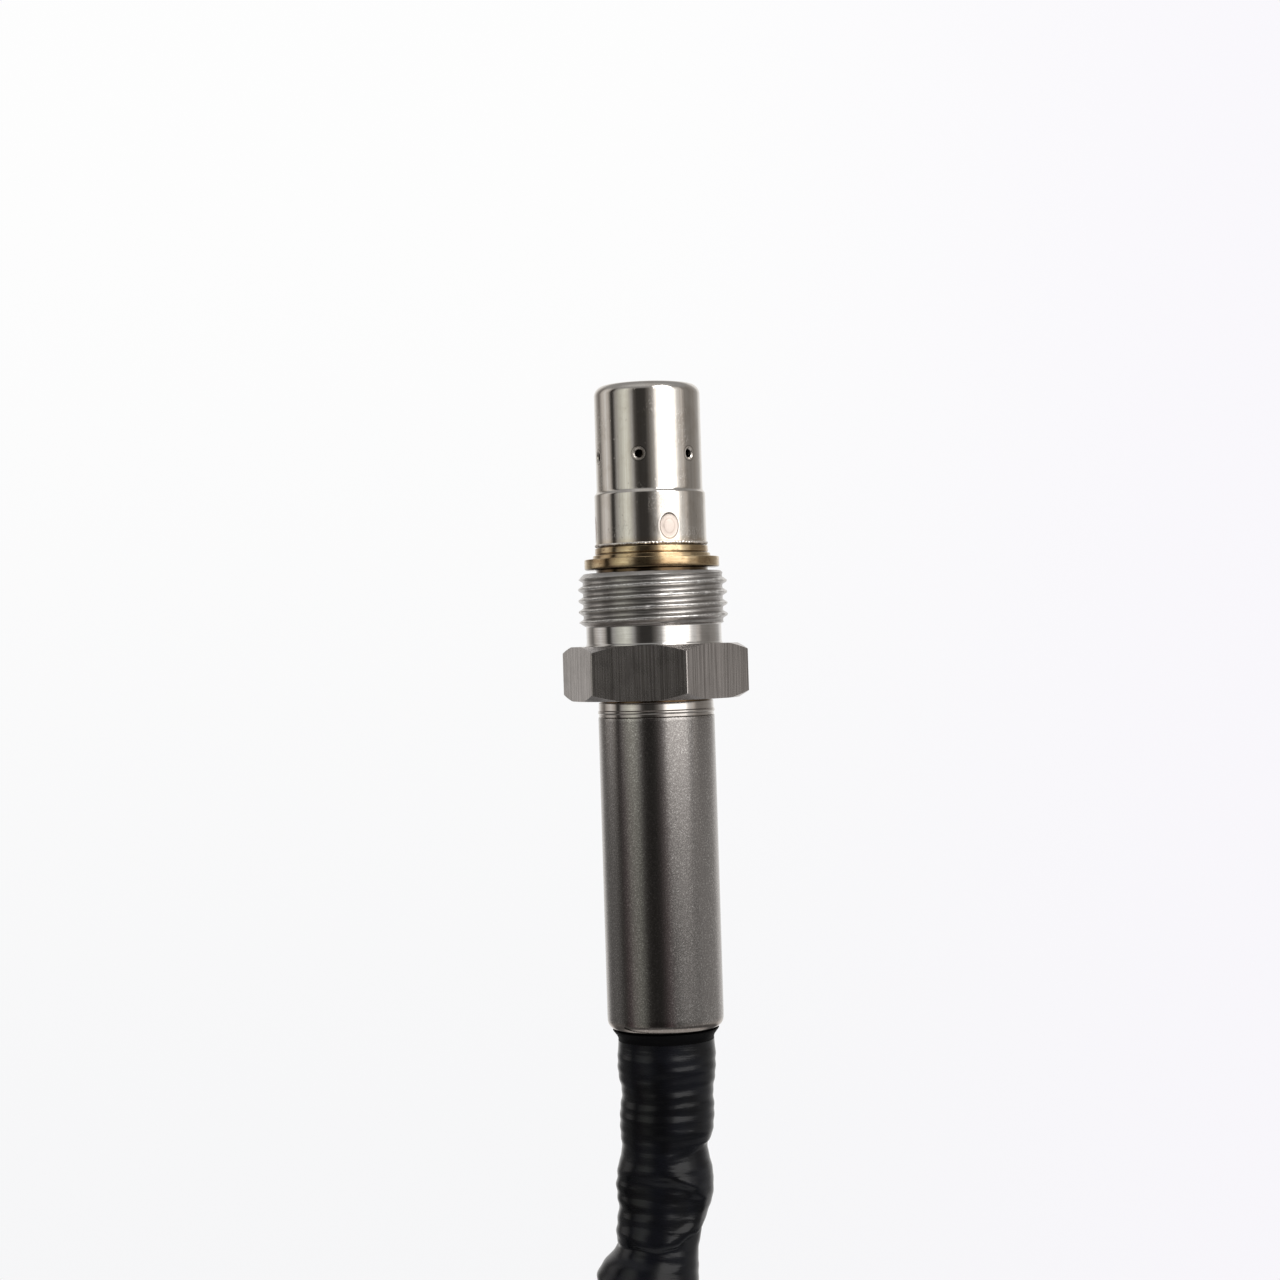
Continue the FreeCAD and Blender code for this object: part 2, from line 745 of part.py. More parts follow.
def make_contacts():
    """Contact carrier with two rows of sprung contacts on the element's rear end."""
    carrier = new_body("contact_carrier")
    disc = sketch_on(carrier, "XY_Plane", carrier_foot)
    add_circle(disc, carrier_radius * 2)
    add_rectangle(disc, size("carrier_slot_width"), size("carrier_slot_depth"))
    add_pad(carrier, disc, size("carrier_length"))
    document.recompute()
    subparts["contact_carrier"] = carrier
    springs = new_body("contact_springs")
    row_span = size("contact_pitch") * (count("contact_count") - 1)
    first_x = -row_span / 2 - size("contact_width") / 2
    side = sketch_on(springs, "YZ_Plane", first_x)
    thick = size("contact_thickness")
    touch = size("element_thickness") / 2 + size("talc_clearance")
    wall_y = size("carrier_slot_depth") / 2 - size("talc_clearance")
    low = carrier_foot
    high = low + size("contact_length")
    bend = low + size("contact_bend_height")
    foot = low + size("contact_foot_length")
    add_outline(side, [
        (wall_y - thick, low),
        (wall_y, low),
        (wall_y, foot),
        (touch + thick, bend),
        (wall_y, high),
        (wall_y - thick, high),
        (touch, bend),
        (wall_y - thick, foot),
    ])
    strip = add_pad(springs, side, size("contact_width"))
    flat = sketch_on(springs, "XY_Plane")
    add_row(springs, [strip], flat, "H_Axis", row_span, size("contact_count"))
    across = add_mirror_of_row(springs)
    springs.Tip = across
    document.recompute()
    subparts["contact_springs"] = springs


def add_mirror_of_row(springs):
    """Repeat the whole row of contacts on the element's other face."""
    plane = [item for item in springs.Origin.OriginFeatures if item.Role == "XZ_Plane"][0]
    mirror = springs.newObject("PartDesign::Mirrored", "contact_mirror")
    mirror.TransformMode = "Whole shape"
    mirror.MirrorPlane = (plane, [""])
    return mirror


def make_clip():
    """Slit spring ring that centres the carrier in the sleeve."""
    body = new_body("carrier_clip")
    ring = sketch_on(body, "XY_Plane", carrier_top - size("clip_inset"))
    add_circle(ring, (sleeve_inner_radius - size("seat_clearance")) * 2)
    add_circle(ring, (carrier_radius + size("seat_clearance")) * 2)
    add_pad(body, ring, size("clip_length"), backwards=True)
    slit = sketch_on(body, "XY_Plane", carrier_top - size("clip_inset"))
    add_rectangle(slit, size("sleeve_diameter"), size("clip_slit"), size("sleeve_diameter") / 2, seat)
    add_pocket(body, slit, size("clip_length"))
    subparts["carrier_clip"] = body


def make_grommet_and_wires():
    """Rubber grommet in the sleeve's end and the wires that pass through it."""
    grommet = new_body("wire_grommet")
    disc = sketch_on(grommet, "XY_Plane", boot_head_top)
    add_circle(disc, (sleeve_inner_radius - size("seat_clearance")) * 2)
    add_pad(grommet, disc, size("grommet_length"))
    hole_sketch = sketch_on(grommet, "XY_Plane", boot_head_top)
    hole_diameter = size("wire_diameter") + size("seat_clearance") * 2
    add_circle(hole_sketch, hole_diameter, size("wire_circle_diameter") / 2, seat)
    hole = add_pocket(grommet, hole_sketch, size("grommet_length"), backwards=True)
    add_polar(grommet, [hole], disc, size("wire_count"))
    subparts["wire_grommet"] = grommet
    wires = new_body("lead_wires")
    start = sketch_on(wires, "XY_Plane", lead_exit)
    add_circle(start, size("wire_diameter"), size("wire_circle_diameter") / 2, seat)
    wire = add_pad(wires, start, carrier_foot - lead_exit)
    add_polar(wires, [wire], start, size("wire_count"))
    subparts["lead_wires"] = wires


def make_boot():
    """Boot that is held in the sleeve's mouth and flares below it."""
    inner = size("boot_bore") / 2
    mouth = sleeve_mouth_radius - size("seat_clearance")
    head = sleeve_inner_radius - size("sleeve_edge_radius")
    wall_top = sleeve_foot + size("sleeve_wall")
    turned_part("lead_boot", [
        (inner, lead_exit),
        (size("boot_foot_diameter") / 2, lead_exit),
        (size("boot_flare_diameter") / 2, sleeve_foot - size("boot_lip_length")),
        (size("boot_flare_diameter") / 2, sleeve_foot),
        (mouth, sleeve_foot),
        (mouth, wall_top),
        (head, wall_top),
        (head, boot_head_top),
        (inner, boot_head_top),
    ])


def rounded_path(points):
    """Join points by straight runs and tangent arcs, and print the arcs' radii."""
    edges = []
    last = points[0]
    for before, corner, after in zip(points, points[1:], points[2:]):
        towards = corner - before
        away = after - corner
        half_turn = towards.getAngle(away) / 2
        reach = ARC_SHARE * min(towards.Length, away.Length)
        print("arc radius %.1f mm" % (reach / math.tan(half_turn)))
        entry = corner - FreeCAD.Vector(towards).normalize() * reach
        leave = corner + FreeCAD.Vector(away).normalize() * reach
        inward = (entry + leave) * 0.5 - corner
        # The arc's middle lies on the bisector, where the arc comes nearest to the corner.
        depth = reach * (1 - math.cos(half_turn)) / math.sin(half_turn)
        middle = corner + inward.normalize() * depth
        edges.append(Part.LineSegment(last, entry).toShape())
        edges.append(Part.Arc(entry, middle, leave).toShape())
        last = leave
    edges.append(Part.LineSegment(last, points[-1]).toShape())
    return Part.Wire(edges)


def make_lead():
    """Covered lead: the run down from the sensor, one hanging turn and the tail."""
    radius = size("cable_diameter") / 2
    start = FreeCAD.Vector(0, 0, lead_exit.value)
    points = [start + FreeCAD.Vector(*offset) for offset in LEAD_ROUTE]
    path = rounded_path(points)
    section = Part.Wire(Part.makeCircle(radius.value, start, FreeCAD.Vector(0, 0, -1)))
    run = document.addObject("Part::Feature", "cable_run")
    run.Shape = path.makePipeShell([section], True, False)
    expected = math.pi * radius.value ** 2 * path.Length
    print("lead run %.1f mm long, volume against section and length %.4f" % (
        path.Length, run.Shape.Volume / expected))
    subparts["cable_run"] = run
    end_x, end_y, end_z = LEAD_ROUTE[-1]
    end_height = lead_exit + end_z
    coil = new_body("cable_coil")
    ring = sketch_on(coil, "XY_Plane")
    add_slot(ring, radius, -size("coil_shift") / 2, size("coil_shift") / 2, size("coil_radius"))
    add_revolution(coil, ring)
    place(
        coil,
        Size.of(end_x) - size("coil_radius"),
        Size.of(end_y) + size("coil_shift") / 2,
        end_height,
    )
    subparts["cable_coil"] = coil
    tail = document.addObject("Part::Cylinder", "cable_tail")
    bind(tail, "Radius", radius)
    bind(tail, "Height", size("tail_length"))
    place(tail, end_x, Size.of(end_y) + size("coil_shift"), end_height - size("tail_length"))
    subparts["cable_tail"] = tail
    make_tie(Size.of(end_x), Size.of(end_y), end_height)
    document.recompute()
    print("lead %.0f mm long in all" % (
        path.Length + 2 * math.pi * size("coil_radius").value + size("tail_length").value))


def make_tie(x, y, z):
    """Tie around the two passes of the lead where the turn closes."""
    body = new_body("cable_tie")
    band = sketch_on(body, "XY_Plane")
    inner = size("cable_diameter") / 2 + size("slot_clearance")
    outer = inner + size("tie_thickness")
    add_slot(band, outer, -size("coil_shift") / 2, size("coil_shift") / 2)
    add_slot(band, inner, -size("coil_shift") / 2, size("coil_shift") / 2)
    add_pad(body, band, size("tie_width"), both_ways=True)
    head_depth = size("tie_head_depth")
    head = sketch_on(body, "XY_Plane")
    add_rectangle(head, head_depth, size("tie_head_size"), inner + head_depth / 2, seat)
    add_pad(body, head, size("tie_head_height"), both_ways=True)
    place(body, x, y + size("coil_shift") / 2, z)
    document.recompute()
    subparts["cable_tie"] = body


# The control unit's own origin is where the lead's gland meets its upper wall.
unit_x = Size.of(LEAD_ROUTE[-1][0])
unit_y = Size.of(LEAD_ROUTE[-1][1]) + size("coil_shift")
unit_z = lead_exit + LEAD_ROUTE[-1][2] - size("tail_length") - size("gland_length")
unit_middle = -size("unit_height") / 2
front_face = -size("unit_depth") / 2
rim_face = size("unit_depth") / 2
inner_front = front_face + size("unit_wall")
inner_top = -size("unit_wall")
inner_foot = size("unit_wall") - size("unit_height")
gland_inner_face = -size("unit_wall") - size("gland_head_thickness")
board_front = size("pin_thickness") / 2
board_back = board_front + size("board_thickness")
board_top = gland_inner_face - size("board_clearance")
board_foot = inner_foot + size("plug_floor") + size("board_clearance")
board_width = size("unit_width") - (size("unit_wall") + size("board_clearance")) * 2
half_screw_x = size("unit_width") / 2 - size("screw_inset")
half_screw_z = size("unit_height") / 2 - size("screw_inset")


def unit_body(label):
    """Start a body in the control unit's frame."""
    body = new_body(label)
    place(body, unit_x, unit_y, unit_z)
    subparts[label] = body
    return body


def face_sketch(body, y):
    """Start a sketch on a plane that faces the front, at a place along Y."""
    return sketch_on(body, "XZ_Plane", -Size.of(y))


def four_corners(sketch, diameter):
    """Draw a circle at each of the unit's four screw places."""
    for side in (-1, 1):
        for end in (-1, 1):
            add_circle(sketch, diameter, half_screw_x * side, unit_middle + half_screw_z * end)


def edges_along_y(feature, half_width, low, high):
    """Name the straight edges along Y at the four corners of a block."""
    def at_corner(edge):
        if not isinstance(edge.Curve, Part.Line):
            return False
        start, end = edge.Vertexes[0].Point, edge.Vertexes[1].Point
        along_y = abs(start.x - end.x) < TOUCH and abs(start.z - end.z) < TOUCH
        at_side = abs(abs(start.x) - Size.of(half_width).value) < TOUCH
        at_end = min(abs(start.z - Size.of(low).value), abs(start.z - Size.of(high).value)) < TOUCH
        return along_y and at_side and at_end
    return edges_where(feature, at_corner)


def make_case():
    """Moulded case: a tub that is open at the back, with two ears and posts inside."""
    body = unit_body("unit_case")
    half_width = size("unit_width") / 2
    block = face_sketch(body, front_face)
    add_rectangle(block, size("unit_width"), size("unit_height"), seat, unit_middle)
    solid = add_pad(body, block, size("unit_depth"), backwards=True)
    corners = edges_along_y(solid, half_width, -size("unit_height"), seat)
    rounded = add_edge_round(body, solid, corners, size("unit_corner_radius"))
    front = edges_where(rounded, lambda edge: edge.BoundBox.YMax < front_face.value + TOUCH)
    add_edge_round(body, rounded, front, size("unit_front_radius"))
    for side in (-1, 1):
        ear = face_sketch(body, -size("ear_thickness") / 2)
        add_circle(ear, size("ear_radius") * 2, size("ear_offset") * side, unit_middle)
        add_pad(body, ear, size("ear_thickness"), backwards=True)
        bridge = face_sketch(body, -size("ear_thickness") / 2)
        span = size("ear_offset") - half_width + size("unit_wall") / 2
        middle = size("ear_offset") - span / 2
        add_rectangle(bridge, span, size("ear_radius") * 2, middle * side, unit_middle)
        add_pad(body, bridge, size("ear_thickness"), backwards=True)
    hollow = face_sketch(body, rim_face)
    add_rectangle(
        hollow,
        size("unit_width") - size("unit_wall") * 2,
        size("unit_height") - size("unit_wall") * 2,
        seat,
        unit_middle,
    )
    add_pocket(body, hollow, size("unit_depth") - size("unit_wall"), backwards=True)
    posts = face_sketch(body, inner_front)
    four_corners(posts, size("screw_post_diameter"))
    add_pad(body, posts, size("unit_depth") - size("unit_wall"), backwards=True)
    rests = face_sketch(body, inner_front)
    rest_x = board_width / 2 - size("board_rest_diameter")
    for side in (-1, 1):
        add_circle(rests, size("board_rest_diameter"), rest_x * side, unit_middle)
    add_pad(body, rests, board_front - inner_front, backwards=True)
    holes = face_sketch(body, rim_face)
    four_corners(holes, size("screw_hole_diameter"))
    add_pocket(body, holes, size("screw_length"), backwards=True)
    ear_holes = face_sketch(body, size("ear_thickness") / 2)
    for side in (-1, 1):
        hole = size("bush_diameter") + size("seat_clearance") * 2
        add_circle(ear_holes, hole, size("ear_offset") * side, unit_middle)
    add_pocket(body, ear_holes, size("ear_thickness"), backwards=True)
    lead_hole = sketch_on(body, "XY_Plane")
    add_circle(lead_hole, size("gland_hole_diameter"))
    add_pocket(body, lead_hole, size("unit_wall"))
    plug_hole = sketch_on(body, "XY_Plane", inner_foot)
    add_rectangle(
        plug_hole,
        size("plug_width") - size("plug_wall") * 2,
        size("plug_depth") - size("plug_wall") * 2,
    )
    add_pocket(body, plug_hole, size("unit_wall"))
    document.recompute()


def make_cover():
    """Cast cover plate with cooling ribs, and the gasket under it."""
    gasket = unit_body("unit_gasket")
    frame = face_sketch(gasket, rim_face)
    add_rectangle(frame, size("unit_width"), size("unit_height"), seat, unit_middle)
    blank = add_pad(gasket, frame, size("gasket_thickness"), backwards=True)
    corners = edges_along_y(blank, size("unit_width") / 2, -size("unit_height"), seat)
    add_edge_round(gasket, blank, corners, size("unit_corner_radius"))
    window = face_sketch(gasket, rim_face + size("gasket_thickness"))
    add_rectangle(
        window,
        size("unit_width") - size("screw_post_diameter") * 2 - size("unit_wall"),
        size("unit_height") - size("screw_post_diameter") * 2 - size("unit_wall"),
        seat,
        unit_middle,
    )
    add_pocket(gasket, window, size("gasket_thickness"), backwards=True)
    gasket_holes = face_sketch(gasket, rim_face + size("gasket_thickness"))
    four_corners(gasket_holes, size("screw_hole_diameter") + size("slot_clearance") * 2)
    add_pocket(gasket, gasket_holes, size("gasket_thickness"), backwards=True)
    cover = unit_body("unit_cover")
    cover_front = rim_face + size("gasket_thickness")
    cover_back = cover_front + size("cover_thickness")
    plate = face_sketch(cover, cover_front)
    add_rectangle(plate, size("unit_width"), size("unit_height"), seat, unit_middle)
    slab = add_pad(cover, plate, size("cover_thickness"), backwards=True)
    slab_corners = edges_along_y(slab, size("unit_width") / 2, -size("unit_height"), seat)
    add_edge_round(cover, slab, slab_corners, size("unit_corner_radius"))
    holes = face_sketch(cover, cover_back)
    four_corners(holes, size("screw_hole_diameter") + size("slot_clearance") * 2)
    add_pocket(cover, holes, size("cover_thickness"), backwards=True)
    rib_span = size("cover_rib_pitch") * (count("cover_rib_count") - 1)
    ribs = face_sketch(cover, cover_back)
    rib_height = size("unit_height") - size("cover_rib_margin") * 2
    add_rectangle(ribs, size("cover_rib_width"), rib_height, -rib_span / 2, unit_middle)
    rib = add_pad(cover, ribs, size("cover_rib_height"), backwards=True)
    add_row(cover, [rib], ribs, "H_Axis", rib_span, size("cover_rib_count"))


def make_screws():
    """Four screws that hold the cover to the case's posts."""
    body = unit_body("cover_screws")
    head_face = rim_face + size("gasket_thickness") + size("cover_thickness")
    heads = face_sketch(body, head_face)
    four_corners(heads, size("screw_head_diameter"))
    add_pad(body, heads, size("screw_head_height"), backwards=True)
    shanks = face_sketch(body, head_face)
    four_corners(shanks, size("screw_hole_diameter") - size("seat_clearance") * 2)
    reach = size("screw_length") + size("gasket_thickness") + size("cover_thickness")
    add_pad(body, shanks, reach - size("slot_clearance"))
    document.recompute()


def make_board():
    """Circuit board on the case's rests, with its larger components and the lead's wires."""
    board = unit_body("circuit_board")
    plate = face_sketch(board, board_front)
    add_rectangle(plate, board_width, board_top - board_foot, seat, (board_top + board_foot) / 2)
    add_pad(board, plate, size("board_thickness"), backwards=True)
    notches = face_sketch(board, board_back)
    notch = (size("screw_inset") + size("screw_post_diameter") / 2 - size("unit_wall")) * 2
    for side in (-1, 1):
        for end in (-1, 1):
            add_rectangle(
                notches,
                notch,
                notch,
                (size("unit_width") / 2 - size("unit_wall")) * side,
                unit_middle + (size("unit_height") / 2 - size("unit_wall")) * end,
            )
    add_pocket(board, notches, size("board_thickness"), backwards=True)
    chips = unit_body("board_components")
    for across, along, wide, tall, high in BOARD_COMPONENTS:
        base = face_sketch(chips, board_back)
        add_rectangle(base, wide, tall, across, unit_middle + along)
        add_pad(chips, base, high, backwards=True)
    wires = unit_body("unit_wires")
    wire_span = size("unit_wire_pitch") * (count("wire_count") - 1)
    start = sketch_on(wires, "XY_Plane", gland_inner_face)
    add_circle(
        start,
        size("unit_wire_diameter"),
        -wire_span / 2,
        board_front - size("unit_wire_diameter") / 2,
    )
    wire = add_pad(wires, start, size("unit_wire_length"), backwards=True)
    add_row(wires, [wire], start, "H_Axis", wire_span, size("wire_count"))


def make_gland():
    """Moulded relief where the lead enters the control unit."""
    top = size("gland_top_diameter") / 2
    foot = size("gland_foot_diameter") / 2
    inner = size("gland_head_diameter") / 2
    hole = size("gland_hole_diameter") / 2 - size("seat_clearance")
    wall = size("unit_wall")
    length = size("gland_length")
    body = turned_part("unit_gland", [
        (seat, length),
        (top, length),
        (foot, size("gland_rim_length")),
        (foot, seat),
        (hole, seat),
        (hole, -wall),
        (inner, -wall),
        (inner, gland_inner_face),
        (seat, gland_inner_face),
    ])
    place(body, unit_x, unit_y, unit_z)


def make_plug():
    """Socket for the vehicle's plug at the foot of the control unit, with its pins."""
    body = unit_body("connector_socket")
    width = size("plug_width")
    depth = size("plug_depth")
    wall = size("plug_wall")
    mouth = -size("unit_height") - size("plug_length")
    shell = sketch_on(body, "XY_Plane", -size("unit_height"))
    add_rectangle(shell, width, depth)
    block = add_pad(body, shell, size("plug_length"), backwards=True)
    add_edge_round(body, block, edges_where(block, is_upright), size("plug_radius"))
    cavity = sketch_on(body, "XY_Plane", mouth)
    add_rectangle(cavity, width - wall * 2, depth - wall * 2)
    add_pocket(body, cavity, size("plug_length") - size("plug_floor"), backwards=True)
    neck = sketch_on(body, "XY_Plane", -size("unit_height"))
    clearance = size("seat_clearance") * 2
    add_rectangle(neck, width - wall * 2 - clearance, depth - wall * 2 - clearance)
    add_pad(body, neck, size("unit_wall") + size("plug_floor"))
    slots = sketch_on(body, "XY_Plane", inner_foot + size("plug_floor"))
    pin_span = size("pin_pitch") * (count("pin_count") - 1)
    pin_start = -pin_span / 2
    slot_wide = size("pin_width") + clearance
    slot_deep = size("pin_thickness") + clearance
    through = size("unit_wall") + size("plug_floor") * 2
    add_rectangle(slots, slot_wide, slot_deep, pin_start, seat)
    slot = add_pocket(body, slots, through)
    add_row(body, [slot], slots, "H_Axis", pin_span, size("pin_count"))
    pins = unit_body("connector_pins")
    pin_top = board_foot + size("pin_overlap")
    pin_foot = -size("unit_height") - size("plug_floor") - size("pin_reach")
    foot = sketch_on(pins, "XY_Plane", pin_top)
    add_rectangle(foot, size("pin_width"), size("pin_thickness"), pin_start, seat)
    pin = add_pad(pins, foot, pin_top - pin_foot, backwards=True)
    add_row(pins, [pin], foot, "H_Axis", pin_span, size("pin_count"))


def make_bushes():
    """Steel bushes in the ears of the case."""
    body = unit_body("mounting_bushes")
    rings = face_sketch(body, -size("ear_thickness") / 2)
    for side in (-1, 1):
        add_circle(rings, size("bush_diameter"), size("ear_offset") * side, unit_middle)
        add_circle(rings, size("bush_bore"), size("ear_offset") * side, unit_middle)
    add_pad(body, rings, size("ear_thickness"), backwards=True)
    document.recompute()


make_outer_cap()
make_inner_tube()
make_housing()
make_element_and_seals()
make_hollow_screw()
make_collar_and_sleeve()
make_contacts()
make_clip()
make_grommet_and_wires()
make_boot()
make_lead()
make_case()
make_cover()
make_screws()
make_board()
make_gland()
make_plug()
make_bushes()
document.recompute()

for item in document.Objects:
    if "Invalid" in item.State or "Error" in item.State:
        raise ValueError("%s failed: %s" % (item.Label, item.State))
for label, item in subparts.items():
    if item.Shape.isNull() or not item.Shape.isValid() or not item.Shape.Solids:
        raise ValueError(label + " has no valid solid")

os.makedirs("parts", exist_ok=True)
for label, item in subparts.items():
    item.Shape.exportStep(os.path.join("parts", label + ".step"))
    print("%s: %d solids, %.1f cubic millimetres" % (label, len(item.Shape.Solids), item.Shape.Volume))
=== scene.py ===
"""Looks of a nitrogen oxide sensor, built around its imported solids.

Everything is in metres, in the frame of the solids: the sensor's axis is Z with the tip up,
the front face of the flange is at zero, and the usual view looks along +Y.
"""
import logging
import math
from dataclasses import dataclass, field
from enum import Enum
from typing import Callable, Sequence

import bmesh
import bpy
from mathutils import Matrix, Vector, noise


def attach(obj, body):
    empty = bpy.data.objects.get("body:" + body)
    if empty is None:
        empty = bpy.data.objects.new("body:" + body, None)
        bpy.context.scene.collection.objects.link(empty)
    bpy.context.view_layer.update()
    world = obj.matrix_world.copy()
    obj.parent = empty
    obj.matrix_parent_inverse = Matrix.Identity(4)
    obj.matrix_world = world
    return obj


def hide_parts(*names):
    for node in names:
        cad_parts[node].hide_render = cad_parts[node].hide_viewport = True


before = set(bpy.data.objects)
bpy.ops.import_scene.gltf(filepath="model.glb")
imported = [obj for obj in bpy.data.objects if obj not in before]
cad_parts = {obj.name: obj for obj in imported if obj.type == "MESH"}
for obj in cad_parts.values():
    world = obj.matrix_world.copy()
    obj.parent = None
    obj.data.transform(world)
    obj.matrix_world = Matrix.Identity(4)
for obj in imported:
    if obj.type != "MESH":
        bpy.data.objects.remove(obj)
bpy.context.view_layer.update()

LOG = logging.getLogger("nitrogen_oxide_sensor")
MM = 0.001
FULL_TURN = 2 * math.pi
RING_PITCH = 1.63
Colour = tuple[float, float, float, float]
Outline = Sequence[tuple[float, ...]]
Table = tuple[tuple[float, ...], ...]


class Body(Enum):
    """The two bodies that pieces ride on."""

    SENSOR = "sensor"
    SCREW = "screw"


class Grain(Enum):
    """The way the fine lines of a metal surface run."""

    TURNED = "around the axis"
    DRAWN = "along the axis"
    NONE = "no direction"


def operator(operation: str, swapped: bool = False) -> Callable[["Signal", "Signal | float"], "Signal"]:
    """Make a method that joins a signal and another value by a Math node.

    Args:
        operation: The node's operation.
        swapped: Whether the other value comes first.

    Returns:
        The method.
    """
    def join(signal: "Signal", other: "Signal | float") -> "Signal":
        """Join the two values."""
        values = (other, signal) if swapped else (signal, other)
        return signal.tree.math(operation, *values)

    return join


class Signal:
    """An output of a shader tree, on which arithmetic adds Math nodes."""

    def __init__(self, tree: "ShaderTree", socket: bpy.types.NodeSocket) -> None:
        """Keep the tree and the socket that the value comes from."""
        self.tree = tree
        self.socket = socket

    __add__ = operator("ADD")
    __radd__ = operator("ADD", swapped=True)
    __sub__ = operator("SUBTRACT")
    __rsub__ = operator("SUBTRACT", swapped=True)
    __mul__ = operator("MULTIPLY")
    __rmul__ = operator("MULTIPLY", swapped=True)
    __truediv__ = operator("DIVIDE")
    __pow__ = operator("POWER")


@dataclass
class Place:
    """Where a shaded point is, in millimetres: Cartesian, and around the sensor's axis."""

    vector: Signal
    x: Signal
    y: Signal
    z: Signal
    radius: Signal
    turn: Signal


class ShaderTree:
    """The node tree of a material or of the world."""

    def __init__(self, owner: bpy.types.Material | bpy.types.World) -> None:
        """Empty the owner's tree.

        Args:
            owner: The material or world whose tree is filled.
        """
        owner.use_nodes = True
        self.nodes = owner.node_tree.nodes
        self.links = owner.node_tree.links
        self.nodes.clear()

    def add(self, kind: str, settings: dict | None = None, sockets: dict | None = None,
            output: int | str = 0) -> Signal:
        """Add one node.

        Args:
            kind: The node's type.
            settings: Its settings, set first; "stops" are a ramp's positions and colours.
            sockets: Values or signals by socket name or index.
            output: The output that is returned.

        Returns:
            The chosen output as a signal.
        """
        node = self.nodes.new(kind)
        for key, value in (settings or {}).items():
            if key == "stops":
                self._set_stops(node.color_ramp, value)
            else:
                setattr(node, key, value)
        for key, value in (sockets or {}).items():
            if isinstance(value, Signal):
                self.links.new(value.socket, node.inputs[key])
            else:
                node.inputs[key].default_value = value
        return Signal(self, node.outputs[output])

    @staticmethod
    def _set_stops(ramp: bpy.types.ColorRamp, stops: Sequence[tuple[float, Colour]]) -> None:
        """Write a ramp's stops, from low to high."""
        while len(ramp.elements) > 1:
            ramp.elements.remove(ramp.elements[-1])
        ramp.elements[0].position, ramp.elements[0].color = stops[0]
        for position, colour in stops[1:]:
            ramp.elements.new(position).color = colour

    def math(self, operation: str, *values: Signal | float) -> Signal:
        """Add a Math node on one, two or three values."""
        return self.add("ShaderNodeMath", {"operation": operation}, dict(enumerate(values)))

    def ramp(self, value: Signal, stops: Sequence[tuple[float, Colour]]) -> Signal:
        """Turn a value into a colour."""
        return self.add("ShaderNodeValToRGB", {"stops": stops}, {0: value})

    def step(self, value: Signal, low: float, high: float) -> Signal:
        """Return a smooth step from 0 at low to 1 at high, or the other way round."""
        settings = {"interpolation_type": "SMOOTHSTEP"}
        if low < high:
            return self.add("ShaderNodeMapRange", settings, {0: value, 1: low, 2: high})
        return self.add("ShaderNodeMapRange", settings, {0: value, 1: high, 2: low, 3: 1.0, 4: 0.0})

    def band(self, value: Signal, low: float, high: float, soft: float) -> Signal:
        """Return 1 between two values and 0 outside them, with soft edges."""
        return self.step(value, low - soft, low + soft) * self.step(value, high + soft, high - soft)

    def blend(self, factor: Signal | float, first: Signal | Colour, second: Signal | Colour) -> Signal:
        """Mix two colours."""
        return self.add("ShaderNodeMix", {"data_type": "RGBA"}, {0: factor, 6: first, 7: second}, 2)

    def coats(self, colour: Signal, *layers: tuple[Signal, tuple[float, float, float]]) -> Signal:
        """Lay tones over a colour, each where its mask is, from the lowest to the topmost."""
        for mask, parts in layers:
            colour = self.blend(mask, colour, tone(*parts))
        return colour

    def combine(self, x: Signal | float, y: Signal | float, z: Signal | float) -> Signal:
        """Join three values to a vector."""
        return self.add("ShaderNodeCombineXYZ", None, {0: x, 1: y, 2: z})

    def split(self, vector: Signal, count: int = 3) -> list[Signal]:
        """Return a vector's first parts."""
        return [self.add("ShaderNodeSeparateXYZ", None, {0: vector}, index) for index in range(count)]

    def stretch(self, vector: Signal, factors: tuple[float, float, float]) -> Signal:
        """Multiply a vector's parts by three numbers."""
        return self.add("ShaderNodeVectorMath", {"operation": "MULTIPLY"}, {0: vector, 1: factors})

    def noise(self, vector: Signal, scale: float, detail: float, roughness: float) -> Signal:
        """Add a noise pattern between 0 and 1."""
        return self.add("ShaderNodeTexNoise", None, {
            "Vector": vector, "Scale": scale, "Detail": detail, "Roughness": roughness})

    def specks(self, vector: Signal, scale: float, size: float) -> Signal:
        """Return small round dots on a random grid, 1 at their middles."""
        distance = self.add("ShaderNodeTexVoronoi", None, {"Vector": vector, "Scale": scale})
        return self.step(distance, size, size * 0.4)

    def place(self) -> Place:
        """Add the nodes that tell where a point is on the object."""
        metres = self.add("ShaderNodeTexCoord", None, None, "Object")
        vector = self.add("ShaderNodeVectorMath", {"operation": "SCALE"}, {0: metres, "Scale": 1 / MM})
        x, y, z = self.split(vector)
        radius = (x * x + y * y) ** 0.5
        return Place(vector, x, y, z, radius, self.math("ARCTAN2", y, x))

    def bump(self, height: Signal, depth: float) -> Signal:
        """Turn a height between 0 and 1 into a normal, with the depth in millimetres."""
        return self.add("ShaderNodeBump", None, {"Height": height, "Distance": depth * MM})

    def surface(self, **sockets: Signal | float | Colour) -> None:
        """Finish the tree with a Principled shader; underscores stand for spaces."""
        named = {key.replace("_", " "): value for key, value in sockets.items()}
        shader = self.add("ShaderNodeBsdfPrincipled", None, named)
        self.add_output("ShaderNodeOutputMaterial", shader)

    def add_output(self, kind: str, shader: Signal) -> None:
        """Join a shader to an output node."""
        node = self.nodes.new(kind)
        self.links.new(shader.socket, node.inputs[0])


def add_object(name: str, data: bpy.types.ID) -> bpy.types.Object:
    """Make an object of some data and put it in the scene."""
    made = bpy.data.objects.new(name, data)
    bpy.context.scene.collection.objects.link(made)
    return made


